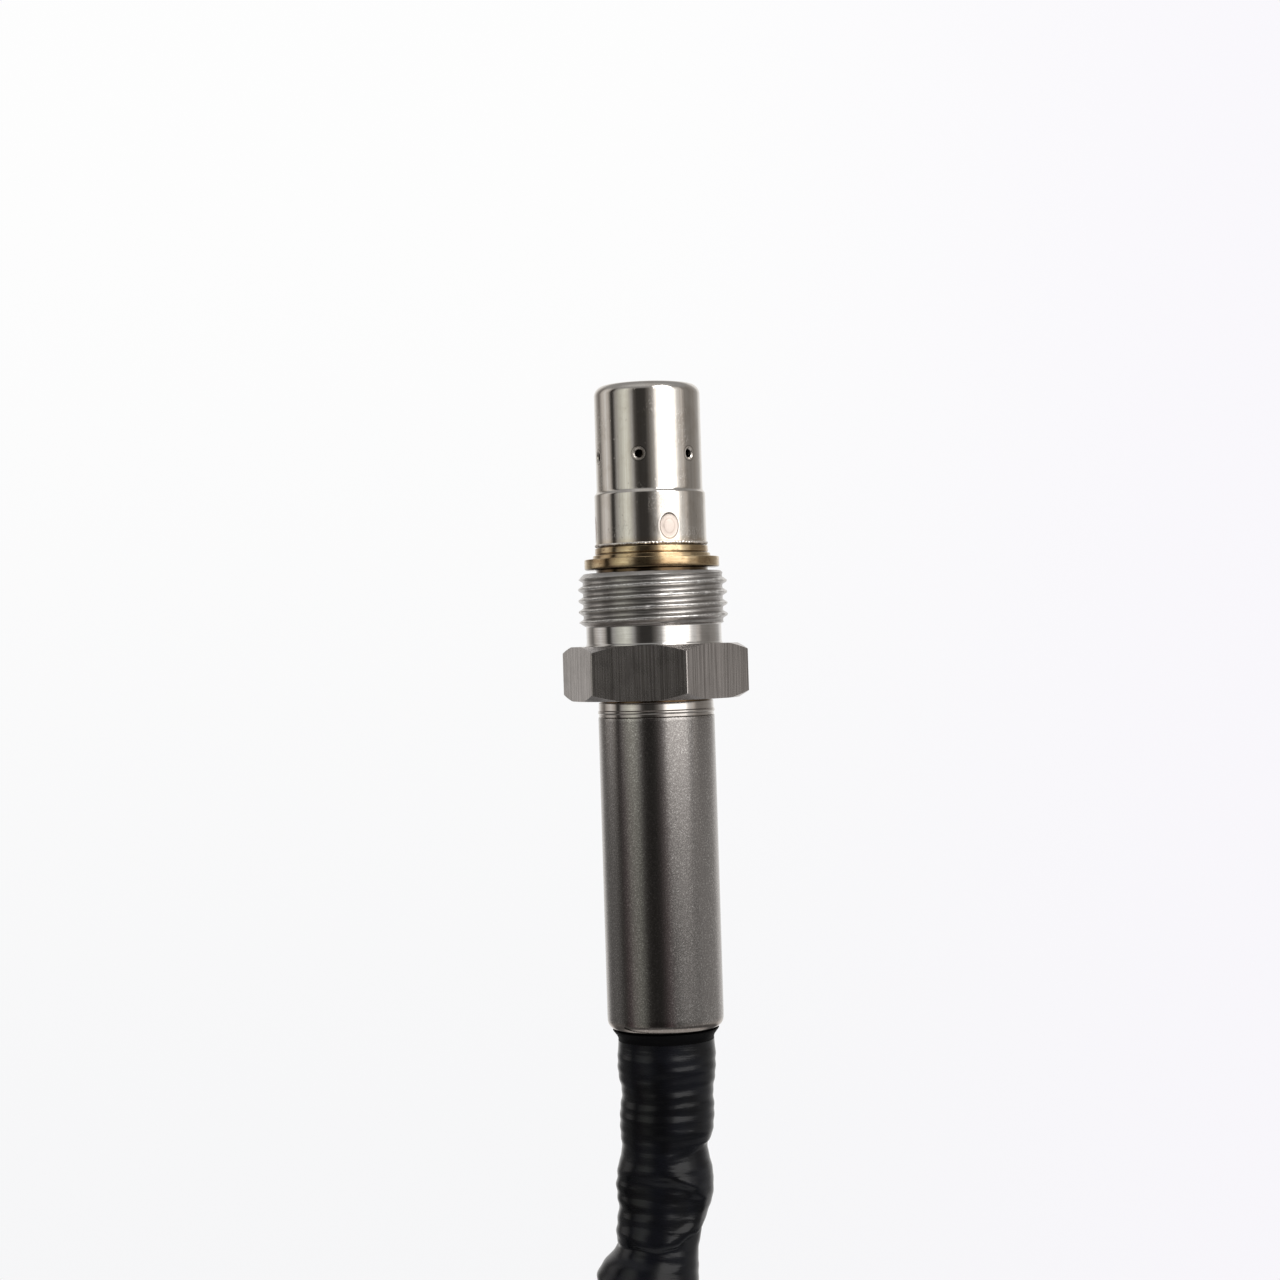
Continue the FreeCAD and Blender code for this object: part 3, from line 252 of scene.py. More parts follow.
def worked_out(item: bpy.types.Object) -> bpy.types.Mesh:
    """Return a new mesh of an object's curve, or of its mesh after its modifiers."""
    bpy.context.view_layer.update()
    return bpy.data.meshes.new_from_object(item.evaluated_get(bpy.context.evaluated_depsgraph_get()))


def tone(red: float, green: float, blue: float) -> Colour:
    """Return a linear colour from the three sRGB numbers between 0 and 255."""
    parts = []
    for part in (red, green, blue):
        share = part / 255
        parts.append(share / 12.92 if share <= 0.04045 else ((share + 0.055) / 1.055) ** 2.4)
    return (parts[0], parts[1], parts[2], 1.0)


@dataclass(frozen=True)
class Finish:
    """A surface finish, whose material is made at its first use."""

    name: str

    def material(self) -> bpy.types.Material:
        """Return the finish's material."""
        own_name = f"{self.name}_finish"
        ready = bpy.data.materials.get(own_name)
        if ready is not None:
            return ready
        made = bpy.data.materials.new(own_name)
        self.paint(ShaderTree(made))
        return made

    def paint(self, tree: ShaderTree) -> None:
        """Fill the material's tree."""
        raise NotImplementedError


@dataclass(frozen=True)
class Steel(Finish):
    """Bare metal with the fine lines that its making leaves."""

    colour: Colour
    stain: Colour
    roughness: float
    spread: float
    grain: Grain
    grain_depth: float
    grain_scale: float = 1.0
    speckle: float = 0.0
    stain_share: float = 0.35
    line_share: float = 0.3

    def grain_vector(self, tree: ShaderTree, place: Place) -> Signal:
        """Return coordinates that stretch a noise along the grain.

        Args:
            tree: The tree to add to.
            place: The point's place.

        Returns:
            The stretched coordinates.
        """
        scale = self.grain_scale
        if self.grain is Grain.TURNED:
            return tree.combine(place.radius * (9.0 * scale), place.turn * 1.6, place.z * (9.0 * scale))
        if self.grain is Grain.DRAWN:
            return tree.stretch(place.vector, (7.0 * scale, 7.0 * scale, 0.05))
        return tree.stretch(place.vector, (3.0 * scale, 3.0 * scale, 3.0 * scale))

    def tint(self, tree: ShaderTree, place: Place, colour: Signal) -> Signal:
        """Return the colour with the marks of a piece; plain steel has none."""
        return colour

    def matt(self, tree: ShaderTree, place: Place, roughness: Signal) -> Signal:
        """Return the roughness with the marks of a piece; plain steel has none."""
        return roughness

    def relief(self, tree: ShaderTree, place: Place, height: Signal) -> Signal:
        """Return the height, in grain depths, with the marks of a piece."""
        return height

    def paint(self, tree: ShaderTree) -> None:
        """Fill the tree with metal, its grain, its stains and its speckle, whose lightest dots are painted
        glints.
        """
        place = tree.place()
        lines = tree.noise(self.grain_vector(tree, place), 1.0, 4.0, 0.62)
        cloud = tree.noise(place.vector, 0.45, 3.0, 0.55)
        stain = tree.step(cloud, 0.42, 0.72) * self.stain_share
        colour = tree.blend(stain, self.colour, self.stain)
        colour = tree.blend(tree.step(lines, 0.36, 0.66) * self.line_share, colour, self.stain)
        roughness = self.roughness + (lines - 0.5) * self.spread + (cloud - 0.5) * self.spread
        height = lines
        if self.speckle > 0:
            dots = tree.noise(place.vector, 5.0, 2.0, 0.7)
            height = height + dots * self.speckle
            colour = tree.blend(tree.step(dots, 0.42, 0.6) * 0.5, self.stain, colour)
            # the lightest speckle dots are painted glints
            colour = tree.blend(tree.step(dots, 0.6, 0.72) * 0.5, colour, tone(244, 242, 240))
        tree.surface(
            Base_Color=self.tint(tree, place, colour),
            Metallic=1.0,
            Roughness=self.matt(tree, place, roughness),
            Normal=tree.bump(self.relief(tree, place, height), self.grain_depth),
        )


@dataclass(frozen=True)
class CapMarks:
    """Where the cap's weld spots and gas holes are: degrees from +X, and millimetres."""

    wall_radius: float = 7.1
    spot_turns: tuple[float, ...] = (-71.0, 187.0, 56.0)
    spot_height: float = 4.0
    spot_half_width: float = 1.33
    spot_half_height: float = 1.75
    spot_rim: float = 0.010
    spot_depth: float = 0.022
    spot_mound: float = 0.012
    spot_reach: float = 1.3
    hole_turn: float = -11.0
    hole_spacing: float = 60.0
    hole_height: float = 13.6
    hole_radius: float = 0.56
    sink_radius: float = 1.06


@dataclass(frozen=True)
class CapSteel(Steel):
    """Drawn cap steel with scratches, ringed gas holes, weld spots and heat tint at the weld."""

    marks: CapMarks = CapMarks()

    def spot_distance(self, tree: ShaderTree, place: Place) -> Signal:
        """Return the smallest distance to a weld spot, 1 on its outline.

        Args:
            tree: The tree to add to.
            place: The point's place.

        Returns:
            The distance in half axes of the spot.
        """
        up = (place.z - self.marks.spot_height) / self.marks.spot_half_height
        nearest: Signal | None = None
        for turn in self.marks.spot_turns:
            angle = math.radians(turn)
            along = place.x * -math.sin(angle) + place.y * math.cos(angle)
            facing = place.x * math.cos(angle) + place.y * math.sin(angle)
            across = along / self.marks.spot_half_width
            behind = tree.step(facing, 1.0, 0.0) * 9.0
            distance = (across * across + up * up) ** 0.5 + behind
            nearest = distance if nearest is None else tree.math("MINIMUM", nearest, distance)
        return nearest

    def hole_distance(self, tree: ShaderTree, place: Place) -> Signal:
        """Return the distance in millimetres from the middle of the nearest gas hole.

        Args:
            tree: The tree to add to.
            place: The point's place.

        Returns:
            The distance over the wall.
        """
        spacing = math.radians(self.marks.hole_spacing)
        first = math.radians(self.marks.hole_turn)
        turned = tree.math("FLOORED_MODULO", place.turn - first, spacing) - spacing / 2
        across = turned * self.marks.wall_radius
        up = place.z - self.marks.hole_height
        return (across * across + up * up) ** 0.5

    def tint(self, tree: ShaderTree, place: Place, colour: Signal) -> Signal:
        """Colour the weld spots, the gas holes' rims with a painted highlight in their countersinks, the
        heated foot, the scratches and the smudges.
        """
        spot = self.spot_distance(tree, place)
        hole = self.hole_distance(tree, place)
        smudge = tree.noise(tree.stretch(place.vector, (1.3, 1.3, 0.8)), 1.0, 4.0, 0.7)
        return tree.coats(
            colour,
            (tree.step(spot, 0.93, 0.86) * 0.85, (204, 190, 181)),
            (tree.band(spot, 0.9, 1.0, 0.05) * 0.9, (84, 68, 60)),
            (tree.band(spot, 0.52, 0.58, 0.06) * 0.4, (134, 110, 98)),
            (tree.band(hole, 0.92, 1.05, 0.06) * 0.5, (90, 80, 74)),
            # painted highlight in each countersink
            (tree.step(hole, 0.95, 0.88) * 0.45, (222, 214, 204)),
            (tree.step(place.z, 3.0, 1.75) * 0.35, (196, 172, 132)),
            (self.scratches(tree, place) * 0.5, (252, 250, 246)),
            (tree.step(smudge, 0.58, 0.78) * tree.band(place.z, 2.6, 5.4, 1.0) * 0.55, (112, 100, 88)),
        )

    def matt(self, tree: ShaderTree, place: Place, roughness: Signal) -> Signal:
        """Make weld spots, countersinks and scratches duller than the drawn wall."""
        inside = tree.step(self.spot_distance(tree, place), 0.95, 0.85)
        sunk = tree.step(self.hole_distance(tree, place), 0.98, 0.9)
        return roughness + inside * 0.22 + sunk * 0.2 + self.scratches(tree, place) * 0.1

    def relief(self, tree: ShaderTree, place: Place, height: Signal) -> Signal:
        """Add the scratches, small pits and a fine unevenness."""
        pits = tree.specks(place.vector, 0.9, 0.12)
        fine = tree.noise(place.vector, 3.4, 1.0, 0.5)
        return height - self.scratches(tree, place) * 17.0 + pits * 28.0 + fine * 9.0

    def scratches(self, tree: ShaderTree, place: Place) -> Signal:
        """Return thin winding scratches in patches of the wall, 1 on each."""
        turned = tree.combine(place.turn * 7.0, place.z * 0.9, place.radius * 0.5)
        warped = tree.noise(turned, 1.6, 2.0, 0.5)
        scratch = tree.band(warped, 0.494, 0.506, 0.004)
        patch = tree.step(tree.noise(place.vector, 0.22, 1.0, 0.5), 0.52, 0.64)
        return scratch * patch


@dataclass(frozen=True)
class HousingSteel(Steel):
    """Turned steel that welding and exhaust heat have tinted straw to brown, with painted shade in its
    grooves and under the flange.
    """

    def tint(self, tree: ShaderTree, place: Place, colour: Signal) -> Signal:
        """Colour the heat tint around the ring and the flange, and paint shade into the ring's two grooves
        and onto the neck under the flange.
        """
        cloud = tree.noise(tree.combine(place.turn * 1.4, place.z * 0.9, place.radius * 0.3), 1.0, 3.0, 0.6)
        ash = tree.noise(tree.stretch(place.vector, (1.0, 1.0, 2.2)), 1.1, 4.0, 0.7)
        return tree.coats(
            colour,
            (tree.step(cloud, 0.35, 0.7) * 0.7, (160, 130, 94)),
            (tree.step(ash, 0.5, 0.72) * 0.6, (92, 68, 48)),
            # painted shade in the groove below the step ring's bead
            (tree.band(place.z, 1.47, 1.68, 0.03) * 0.85, (44, 30, 20)),
            # painted shade in the groove of the step ring
            (tree.band(place.z, 0.58, 0.7, 0.03) * 0.6, (60, 42, 28)),
            # painted shade under the flange and down the neck
            (tree.step(place.z, -1.1, -1.42) * 0.85, (58, 40, 26)),
        )


@dataclass(frozen=True)
class ThreadSteel(Steel):
    """Cut thread with crests made bright by wear and a painted highlight, and grooves darkened by painted
    shade, above a polished relief.
    """

    crest_radius: float = 9.9
    root_radius: float = 9.42
    thread_foot: float = -8.95

    def tint(self, tree: ShaderTree, place: Place, colour: Signal) -> Signal:
        """Darken the grooves of the thread with painted shade, and brighten its crests with wear and a
        painted highlight.
        """
        groove = tree.step(place.radius, self.crest_radius, self.root_radius)
        cut = tree.step(place.z, self.thread_foot - 0.05, self.thread_foot + 0.1)
        blotches = tree.noise(place.vector, 2.2, 4.0, 0.7)
        wear_and_highlight = tree.noise(tree.stretch(place.vector, (2.6, 2.6, 7.0)), 1.0, 4.0, 0.8)
        crest = tree.step(place.radius, self.crest_radius - 0.16, self.crest_radius + 0.02) * cut
        return tree.coats(
            colour,
            # painted shade in the thread's grooves, patchy by a noise
            (groove * cut * (0.1 + blotches * 0.45), (96, 90, 85)),
            # bright crests: partly wear, partly a painted highlight
            (tree.step(wear_and_highlight, 0.46, 0.6) * crest * 0.8, (250, 248, 244)),
        )

    def matt(self, tree: ShaderTree, place: Place, roughness: Signal) -> Signal:
        """Make the cut flanks duller than the relief."""
        cut = tree.step(place.z, self.thread_foot - 0.05, self.thread_foot + 0.1)
        return roughness + cut * 0.2

    def relief(self, tree: ShaderTree, place: Place, height: Signal) -> Signal:
        """Add nicks to the crests."""
        cut = tree.step(place.z, self.thread_foot, self.thread_foot + 0.2)
        torn = tree.noise(tree.stretch(place.vector, (1.4, 1.4, 4.5)), 1.0, 5.0, 0.8)
        return height + torn * cut * 90.0


@dataclass(frozen=True)
class SleeveSteel(Steel):
    """Satin sleeve steel with a faint brown to violet cast that fades at its ends."""

    foot: float = -62.8
    top: float = -21.1

    def tint(self, tree: ShaderTree, place: Place, colour: Signal) -> Signal:
        """Add the cast of the middle, and a painted warm reflection on the rounded foot."""
        middle = tree.band(place.z, self.foot + 3.0, self.top - 1.0, 2.0)
        cloud = tree.noise(tree.stretch(place.vector, (0.12, 0.12, 0.05)), 1.0, 2.0, 0.5)
        # the rounded foot gets a painted warm reflection
        low = tree.step(place.z, self.foot + 1.6, self.foot + 0.5)
        return tree.coats(colour, (middle * cloud * 0.2, (160, 150, 150)), (low * 0.4, (214, 196, 182)))

    def matt(self, tree: ShaderTree, place: Place, roughness: Signal) -> Signal:
        """Polish the rounded foot."""
        return roughness - tree.step(place.z, self.foot + 2.0, self.foot + 1.2) * 0.12


@dataclass(frozen=True)
class Moulded(Finish):
    """Moulded plastic, rubber or ceramic with a fine surface grain."""

    colour: Colour
    second: Colour
    roughness: float
    spread: float
    grain_scale: float
    grain_depth: float
    gloss: float = 0.5

    def paint(self, tree: ShaderTree) -> None:
        """Fill the tree with the moulding's colour clouds, grain and handling marks."""
        place = tree.place()
        grain = tree.noise(place.vector, self.grain_scale, 4.0, 0.6)
        cloud = tree.noise(place.vector, 0.12, 3.0, 0.55)
        rubbed = tree.noise(tree.stretch(place.vector, (0.3, 0.3, 1.1)), 1.0, 5.0, 0.7)
        colour = tree.blend(tree.step(cloud, 0.35, 0.7) * 0.6, self.colour, self.second)
        colour = tree.blend(tree.step(rubbed, 0.6, 0.78) * 0.25, colour, self.second)
        roughness = self.roughness + (grain - 0.5) * self.spread - tree.step(rubbed, 0.55, 0.8) * 0.08
        tree.surface(
            Base_Color=colour,
            Roughness=roughness,
            Specular_IOR_Level=self.gloss,
            Normal=tree.bump(grain, self.grain_depth),
        )


@dataclass(frozen=True)
class LeadRubber(Finish):
    """Rubbery lead cover with fine rings around it; reads the lead's own map, in millimetres."""

    ring_pitch: float = RING_PITCH

    def paint(self, tree: ShaderTree) -> None:
        """Fill the tree with the cover's sheen, partly painted as a bluish tone, its rings and its wrinkles.
        """
        along = tree.add("ShaderNodeUVMap", {"uv_map": "cover"})
        around, down = tree.split(along, 2)
        place = tree.place()
        wander = tree.noise(tree.combine(around * 0.1, down * 0.14, 0.0), 1.0, 2.0, 0.5)
        rings = tree.math("SINE", (down + wander * 1.2) * (FULL_TURN / self.ring_pitch)) * 0.5 + 0.5
        patch = tree.step(tree.noise(place.vector, 0.2, 2.0, 0.5), 0.35, 0.62)
        wrinkle = tree.noise(tree.combine(around * 0.16, down * 0.9, 0.0), 1.0, 3.0, 0.5)
        skin = tree.noise(place.vector, 2.6, 2.0, 0.5)
        blotches = tree.step(tree.noise(place.vector, 2.1, 4.0, 0.75), 0.66, 0.8)
        cloud = tree.noise(place.vector, 0.16, 3.0, 0.55)
        # the bluish second tone is a painted sheen of the pale surroundings
        colour = tree.blend(tree.step(cloud, 0.35, 0.7), tone(9, 9, 11), tone(16, 17, 22))
        colour = tree.coats(colour, (blotches * 0.12, (82, 82, 84)))
        height = rings * patch * 0.3 + wrinkle * 0.9 + skin * 0.06
        tree.surface(
            Base_Color=colour,
            Roughness=0.21 + (wrinkle - 0.5) * 0.16 + blotches * 0.2,
            Specular_IOR_Level=0.27,
            Normal=tree.bump(height, 0.07),
        )


CAP_STEEL = CapSteel("cap_steel", tone(212, 207, 201), tone(182, 172, 160), 0.1, 0.05, Grain.DRAWN, 0.0002)
WELD_STEEL = Steel("weld_steel", tone(240, 234, 228), tone(196, 182, 166), 0.3, 0.12, Grain.NONE, 0.002)
INNER_STEEL = Steel("inner_tube_steel", tone(120, 112, 104), tone(84, 74, 66), 0.35, 0.1, Grain.DRAWN, 0.001)
HOUSING_STEEL = HousingSteel(
    "tinted_steel", tone(212, 192, 156), tone(150, 124, 92), 0.12, 0.1, Grain.TURNED, 0.0004)
THREAD_STEEL = ThreadSteel(
    "screw_steel", tone(208, 205, 202), tone(168, 163, 158), 0.09, 0.06, Grain.TURNED, 0.0002)
HEX_STEEL = Steel(
    "screw_hexagon_steel", tone(214, 208, 205), tone(122, 116, 112), 0.27, 0.16, Grain.DRAWN, 0.0014, 0.9,
    stain_share=0.2, line_share=0.8)
COLLAR_STEEL = Steel(
    "collar_steel", tone(204, 199, 194), tone(160, 152, 146), 0.09, 0.05, Grain.TURNED, 0.0002)
SLEEVE_STEEL = SleeveSteel(
    "sleeve_steel", tone(208, 204, 200), tone(146, 142, 139), 0.18, 0.06, Grain.NONE, 0.0014, speckle=1.6)
SPRING_STEEL = Steel("spring_steel", tone(214, 200, 150), tone(180, 160, 110), 0.25, 0.1, Grain.DRAWN, 0.001)
BUSH_STEEL = Steel(
    "bush_steel", tone(190, 188, 184), tone(150, 148, 144), 0.3, 0.1, Grain.NONE, 0.002, speckle=0.6)
COVER_SCREW_STEEL = Steel(
    "cover_screw_steel", tone(180, 178, 172), tone(140, 136, 128), 0.28, 0.1, Grain.NONE, 0.002)
COVER_ALUMINIUM = Steel(
    "cover_aluminium", tone(176, 178, 180), tone(150, 151, 153), 0.42, 0.1, Grain.NONE, 0.012, 0.7,
    speckle=1.6)
PIN_BRASS = Steel("pin_brass", tone(214, 180, 104), tone(180, 144, 84), 0.26, 0.1, Grain.DRAWN, 0.001)
ELEMENT_CERAMIC = Moulded("element_ceramic", tone(222, 218, 208), tone(196, 190, 178), 0.6, 0.1, 6.0, 0.01)
HOLDER_CERAMIC = Moulded("holder_ceramic", tone(230, 226, 216), tone(204, 198, 186), 0.62, 0.1, 6.0, 0.01)
TALC = Moulded("talc", tone(206, 200, 188), tone(178, 172, 160), 0.85, 0.1, 8.0, 0.03)
GROMMET_RUBBER = Moulded("grommet_rubber", tone(78, 40, 30), tone(96, 54, 40), 0.55, 0.1, 4.0, 0.02)
WIRE_SHEATH = Moulded("wire_sheath", tone(196, 190, 176), tone(168, 160, 146), 0.5, 0.1, 5.0, 0.01)
BOOT_RUBBER = Moulded("boot_rubber", tone(4, 4, 5), tone(9, 8, 10), 0.5, 0.14, 2.6, 0.008, 0.06)
LEAD_COVER = LeadRubber("lead_cover")
TIE_NYLON = Moulded("tie_nylon", tone(28, 28, 29), tone(44, 44, 46), 0.4, 0.1, 4.0, 0.01)
CASE_PLASTIC = Moulded("case_plastic", tone(32, 33, 35), tone(46, 47, 50), 0.5, 0.12, 2.4, 0.02)
GASKET_RUBBER = Moulded("gasket_rubber", tone(96, 44, 34), tone(116, 60, 46), 0.6, 0.1, 4.0, 0.02)
BOARD_LAMINATE = Moulded("board_laminate", tone(22, 74, 48), tone(32, 92, 60), 0.35, 0.1, 5.0, 0.01)
COMPONENT_EPOXY = Moulded("component_epoxy", tone(26, 26, 28), tone(40, 40, 42), 0.48, 0.1, 6.0, 0.01)
GLAND_RUBBER = Moulded("gland_rubber", tone(30, 30, 31), tone(44, 44, 46), 0.46, 0.12, 2.8, 0.01)
SOCKET_PLASTIC = Moulded("socket_plastic", tone(28, 28, 30), tone(42, 43, 45), 0.42, 0.12, 3.0, 0.01)


class Blank:
    """A mesh under work, in millimetres, which ends as one piece of the scene."""

    def __init__(self) -> None:
        """Start with nothing."""
        self.mesh = bmesh.new()

    @classmethod
    def turned(cls, outline: Outline, segments: int = 192) -> "Blank":
        """Turn a closed outline about Z.

        Args:
            outline: Radius, height and, where the corner is rounded, its reach.
            segments: Facets around the axis.

        Returns:
            The turned blank.
        """
        blank = cls()
        shape = blank.mesh
        corners = [shape.verts.new((corner[0], 0.0, corner[1])) for corner in outline]
        for start, end in zip(corners, corners[1:] + corners[:1]):
            shape.edges.new((start, end))
        for vertex, corner in zip(corners, outline):
            if len(corner) > 2:
                bmesh.ops.bevel(shape, geom=[vertex], offset=corner[2], offset_type="OFFSET", segments=5,
                                profile=0.5, affect="VERTICES", material=-1)
        bmesh.ops.spin(shape, geom=shape.verts[:] + shape.edges[:], cent=(0, 0, 0), axis=(0, 0, 1),
                       angle=FULL_TURN, steps=segments, use_merge=True)
        bmesh.ops.remove_doubles(shape, verts=shape.verts[:], dist=1e-4)
        bmesh.ops.recalc_face_normals(shape, faces=shape.faces[:])
        return blank

    def take(self, other: bmesh.types.BMesh) -> None:
        """Add another mesh to this one and free it."""
        data = bpy.data.meshes.new("taken")
        other.to_mesh(data)
        other.free()
        self.mesh.from_mesh(data)
        bpy.data.meshes.remove(data)

    def data(self, name: str) -> bpy.types.Mesh:
        """Turn the blank into mesh data that is still in millimetres."""
        data = bpy.data.meshes.new(name)
        self.mesh.to_mesh(data)
        self.mesh.free()
        return data

    def cut(self, tool: "Blank", operation: str = "DIFFERENCE") -> None:
        """Cut another blank out of this one, or keep what both share."""
        objects = [add_object("work", blank.data("work")) for blank in (self, tool)]
        step = objects[0].modifiers.new("cut", "BOOLEAN")
        step.operation = operation
        step.solver = "EXACT"
        step.object = objects[1]
        result = worked_out(objects[0])
        self.mesh = bmesh.new()
        self.mesh.from_mesh(result)
        for item in objects:
            old = item.data
            bpy.data.objects.remove(item)
            bpy.data.meshes.remove(old)
        bpy.data.meshes.remove(result)

    def finish(self, name: str, finish: Finish, body: Body, *nodes: str, sharp: float = 32.0,
               slot: str | None = None) -> bpy.types.Object:
        """Make the blank a piece of the scene.

        Args:
            name: The piece's name.
            finish: Its surface.
            body: The body that it rides on.
            nodes: The nodes that it stands for.
            sharp: Edges that turn by more degrees than this stay crisp.
            slot: The record's material slot, if it isn't the finish's name; not used.

        Returns:
            The piece.
        """
        bmesh.ops.transform(self.mesh, matrix=Matrix.Scale(MM, 4), verts=self.mesh.verts[:])
        data = self.data(name)
        data.shade_smooth()
        data.set_sharp_from_angle(angle=math.radians(sharp))
        piece = add_object(name, data)
        data.materials.append(finish.material())
        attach(piece, body.value)
        if nodes:
            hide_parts(*nodes)
        evened = piece.modifiers.new("evened normals", "WEIGHTED_NORMAL")
        evened.weight = 80
        evened.keep_sharp = True
        LOG.info("made %s with %d faces", name, len(data.polygons))
        return piece


def softened_copy(node: str, name: str, finish: Finish, width: float) -> bpy.types.Object:
    """Copy a node's merged mesh as a piece with softened edges.

    Args:
        node: The node that is copied and replaced.
        name: The piece's name.
        finish: Its surface.
        width: The width of the edge rounding in millimetres.

    Returns:
        The piece.
    """
    blank = Blank()
    blank.mesh.from_mesh(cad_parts[node].data)
    bmesh.ops.transform(blank.mesh, matrix=Matrix.Scale(1 / MM, 4), verts=blank.mesh.verts[:])
    bmesh.ops.remove_doubles(blank.mesh, verts=blank.mesh.verts[:], dist=1e-3)
    bmesh.ops.dissolve_limit(blank.mesh, angle_limit=math.radians(1.0), verts=blank.mesh.verts[:],
                             edges=blank.mesh.edges[:], delimit={"NORMAL"})
    piece = blank.finish(name, finish, Body.SENSOR, node)
    piece.modifiers.clear()
    rounding = piece.modifiers.new("rounding", "BEVEL")
    rounding.width = width * MM
    rounding.segments = 3
    rounding.limit_method = "ANGLE"
    rounding.angle_limit = math.radians(40)
    rounding.harden_normals = True
    return piece


# Brightness of the studio by azimuth, in degrees to the right of the camera,
# as the metal mirrors it at and above eye level, and below it.
PANEL_SCALE = 2.5
PLAIN_TINT = (1.0, 0.985, 0.965)
WARM_TINT = (1.0, 0.95, 0.9)
GREEN_TINT = (0.985, 1.0, 0.915)
ROSE_TINT = (1.0, 0.82, 0.84)
UPPER_PANELS = (
    (-180, 1.0), (-156, 0.9), (-140, 0.4, WARM_TINT), (-128, 0.2, WARM_TINT), (-117, 0.62, WARM_TINT),
    (-104, 0.85), (-94, 0.6, WARM_TINT), (-86, 0.05, WARM_TINT), (-80, 0.05, WARM_TINT), (-74, 0.4),
    (-63, 0.66, GREEN_TINT), (-50, 0.95, GREEN_TINT), (-43, 0.8, GREEN_TINT), (-35, 0.42),
    (-29, 0.1, WARM_TINT), (-22, 0.045, WARM_TINT), (-5, 0.05, WARM_TINT), (3, 0.18, WARM_TINT),
    (12, 0.5), (17, 1.5), (22, 2.3),
    (60, 2.3), (66, 1.1), (72, 0.78), (80, 0.7, WARM_TINT), (88, 0.3, WARM_TINT), (104, 0.26, WARM_TINT),
    (124, 0.34, WARM_TINT), (140, 0.5), (152, 0.95), (180, 1.0),
)
LOWER_PANELS = (
    (-180, 1.0), (-152, 0.85), (-138, 0.32), (-124, 0.2), (-110, 0.21), (-97, 0.16), (-86, 0.07, WARM_TINT),
    (-76, 0.1, ROSE_TINT), (-70, 0.14, ROSE_TINT), (-62, 0.27, WARM_TINT), (-48, 0.3, GREEN_TINT),
    (-40, 0.2, GREEN_TINT), (-31, 0.05, WARM_TINT), (-22, 0.03, WARM_TINT), (-6, 0.03, WARM_TINT),
    (2, 0.06, ROSE_TINT), (12, 0.14, ROSE_TINT), (24, 0.17), (33, 0.22), (42, 0.29), (70, 0.29), (84, 0.38),
    (100, 0.41), (114, 0.44), (128, 0.5), (142, 0.8), (180, 1.0),
)
# Plain zones over and under the panels, by the upward part of the direction: start, full, brightness.
ZONES = ((0.42, 0.72, 0.37), (-0.34, -0.52, 0.12), (-0.62, -0.8, 0.5))


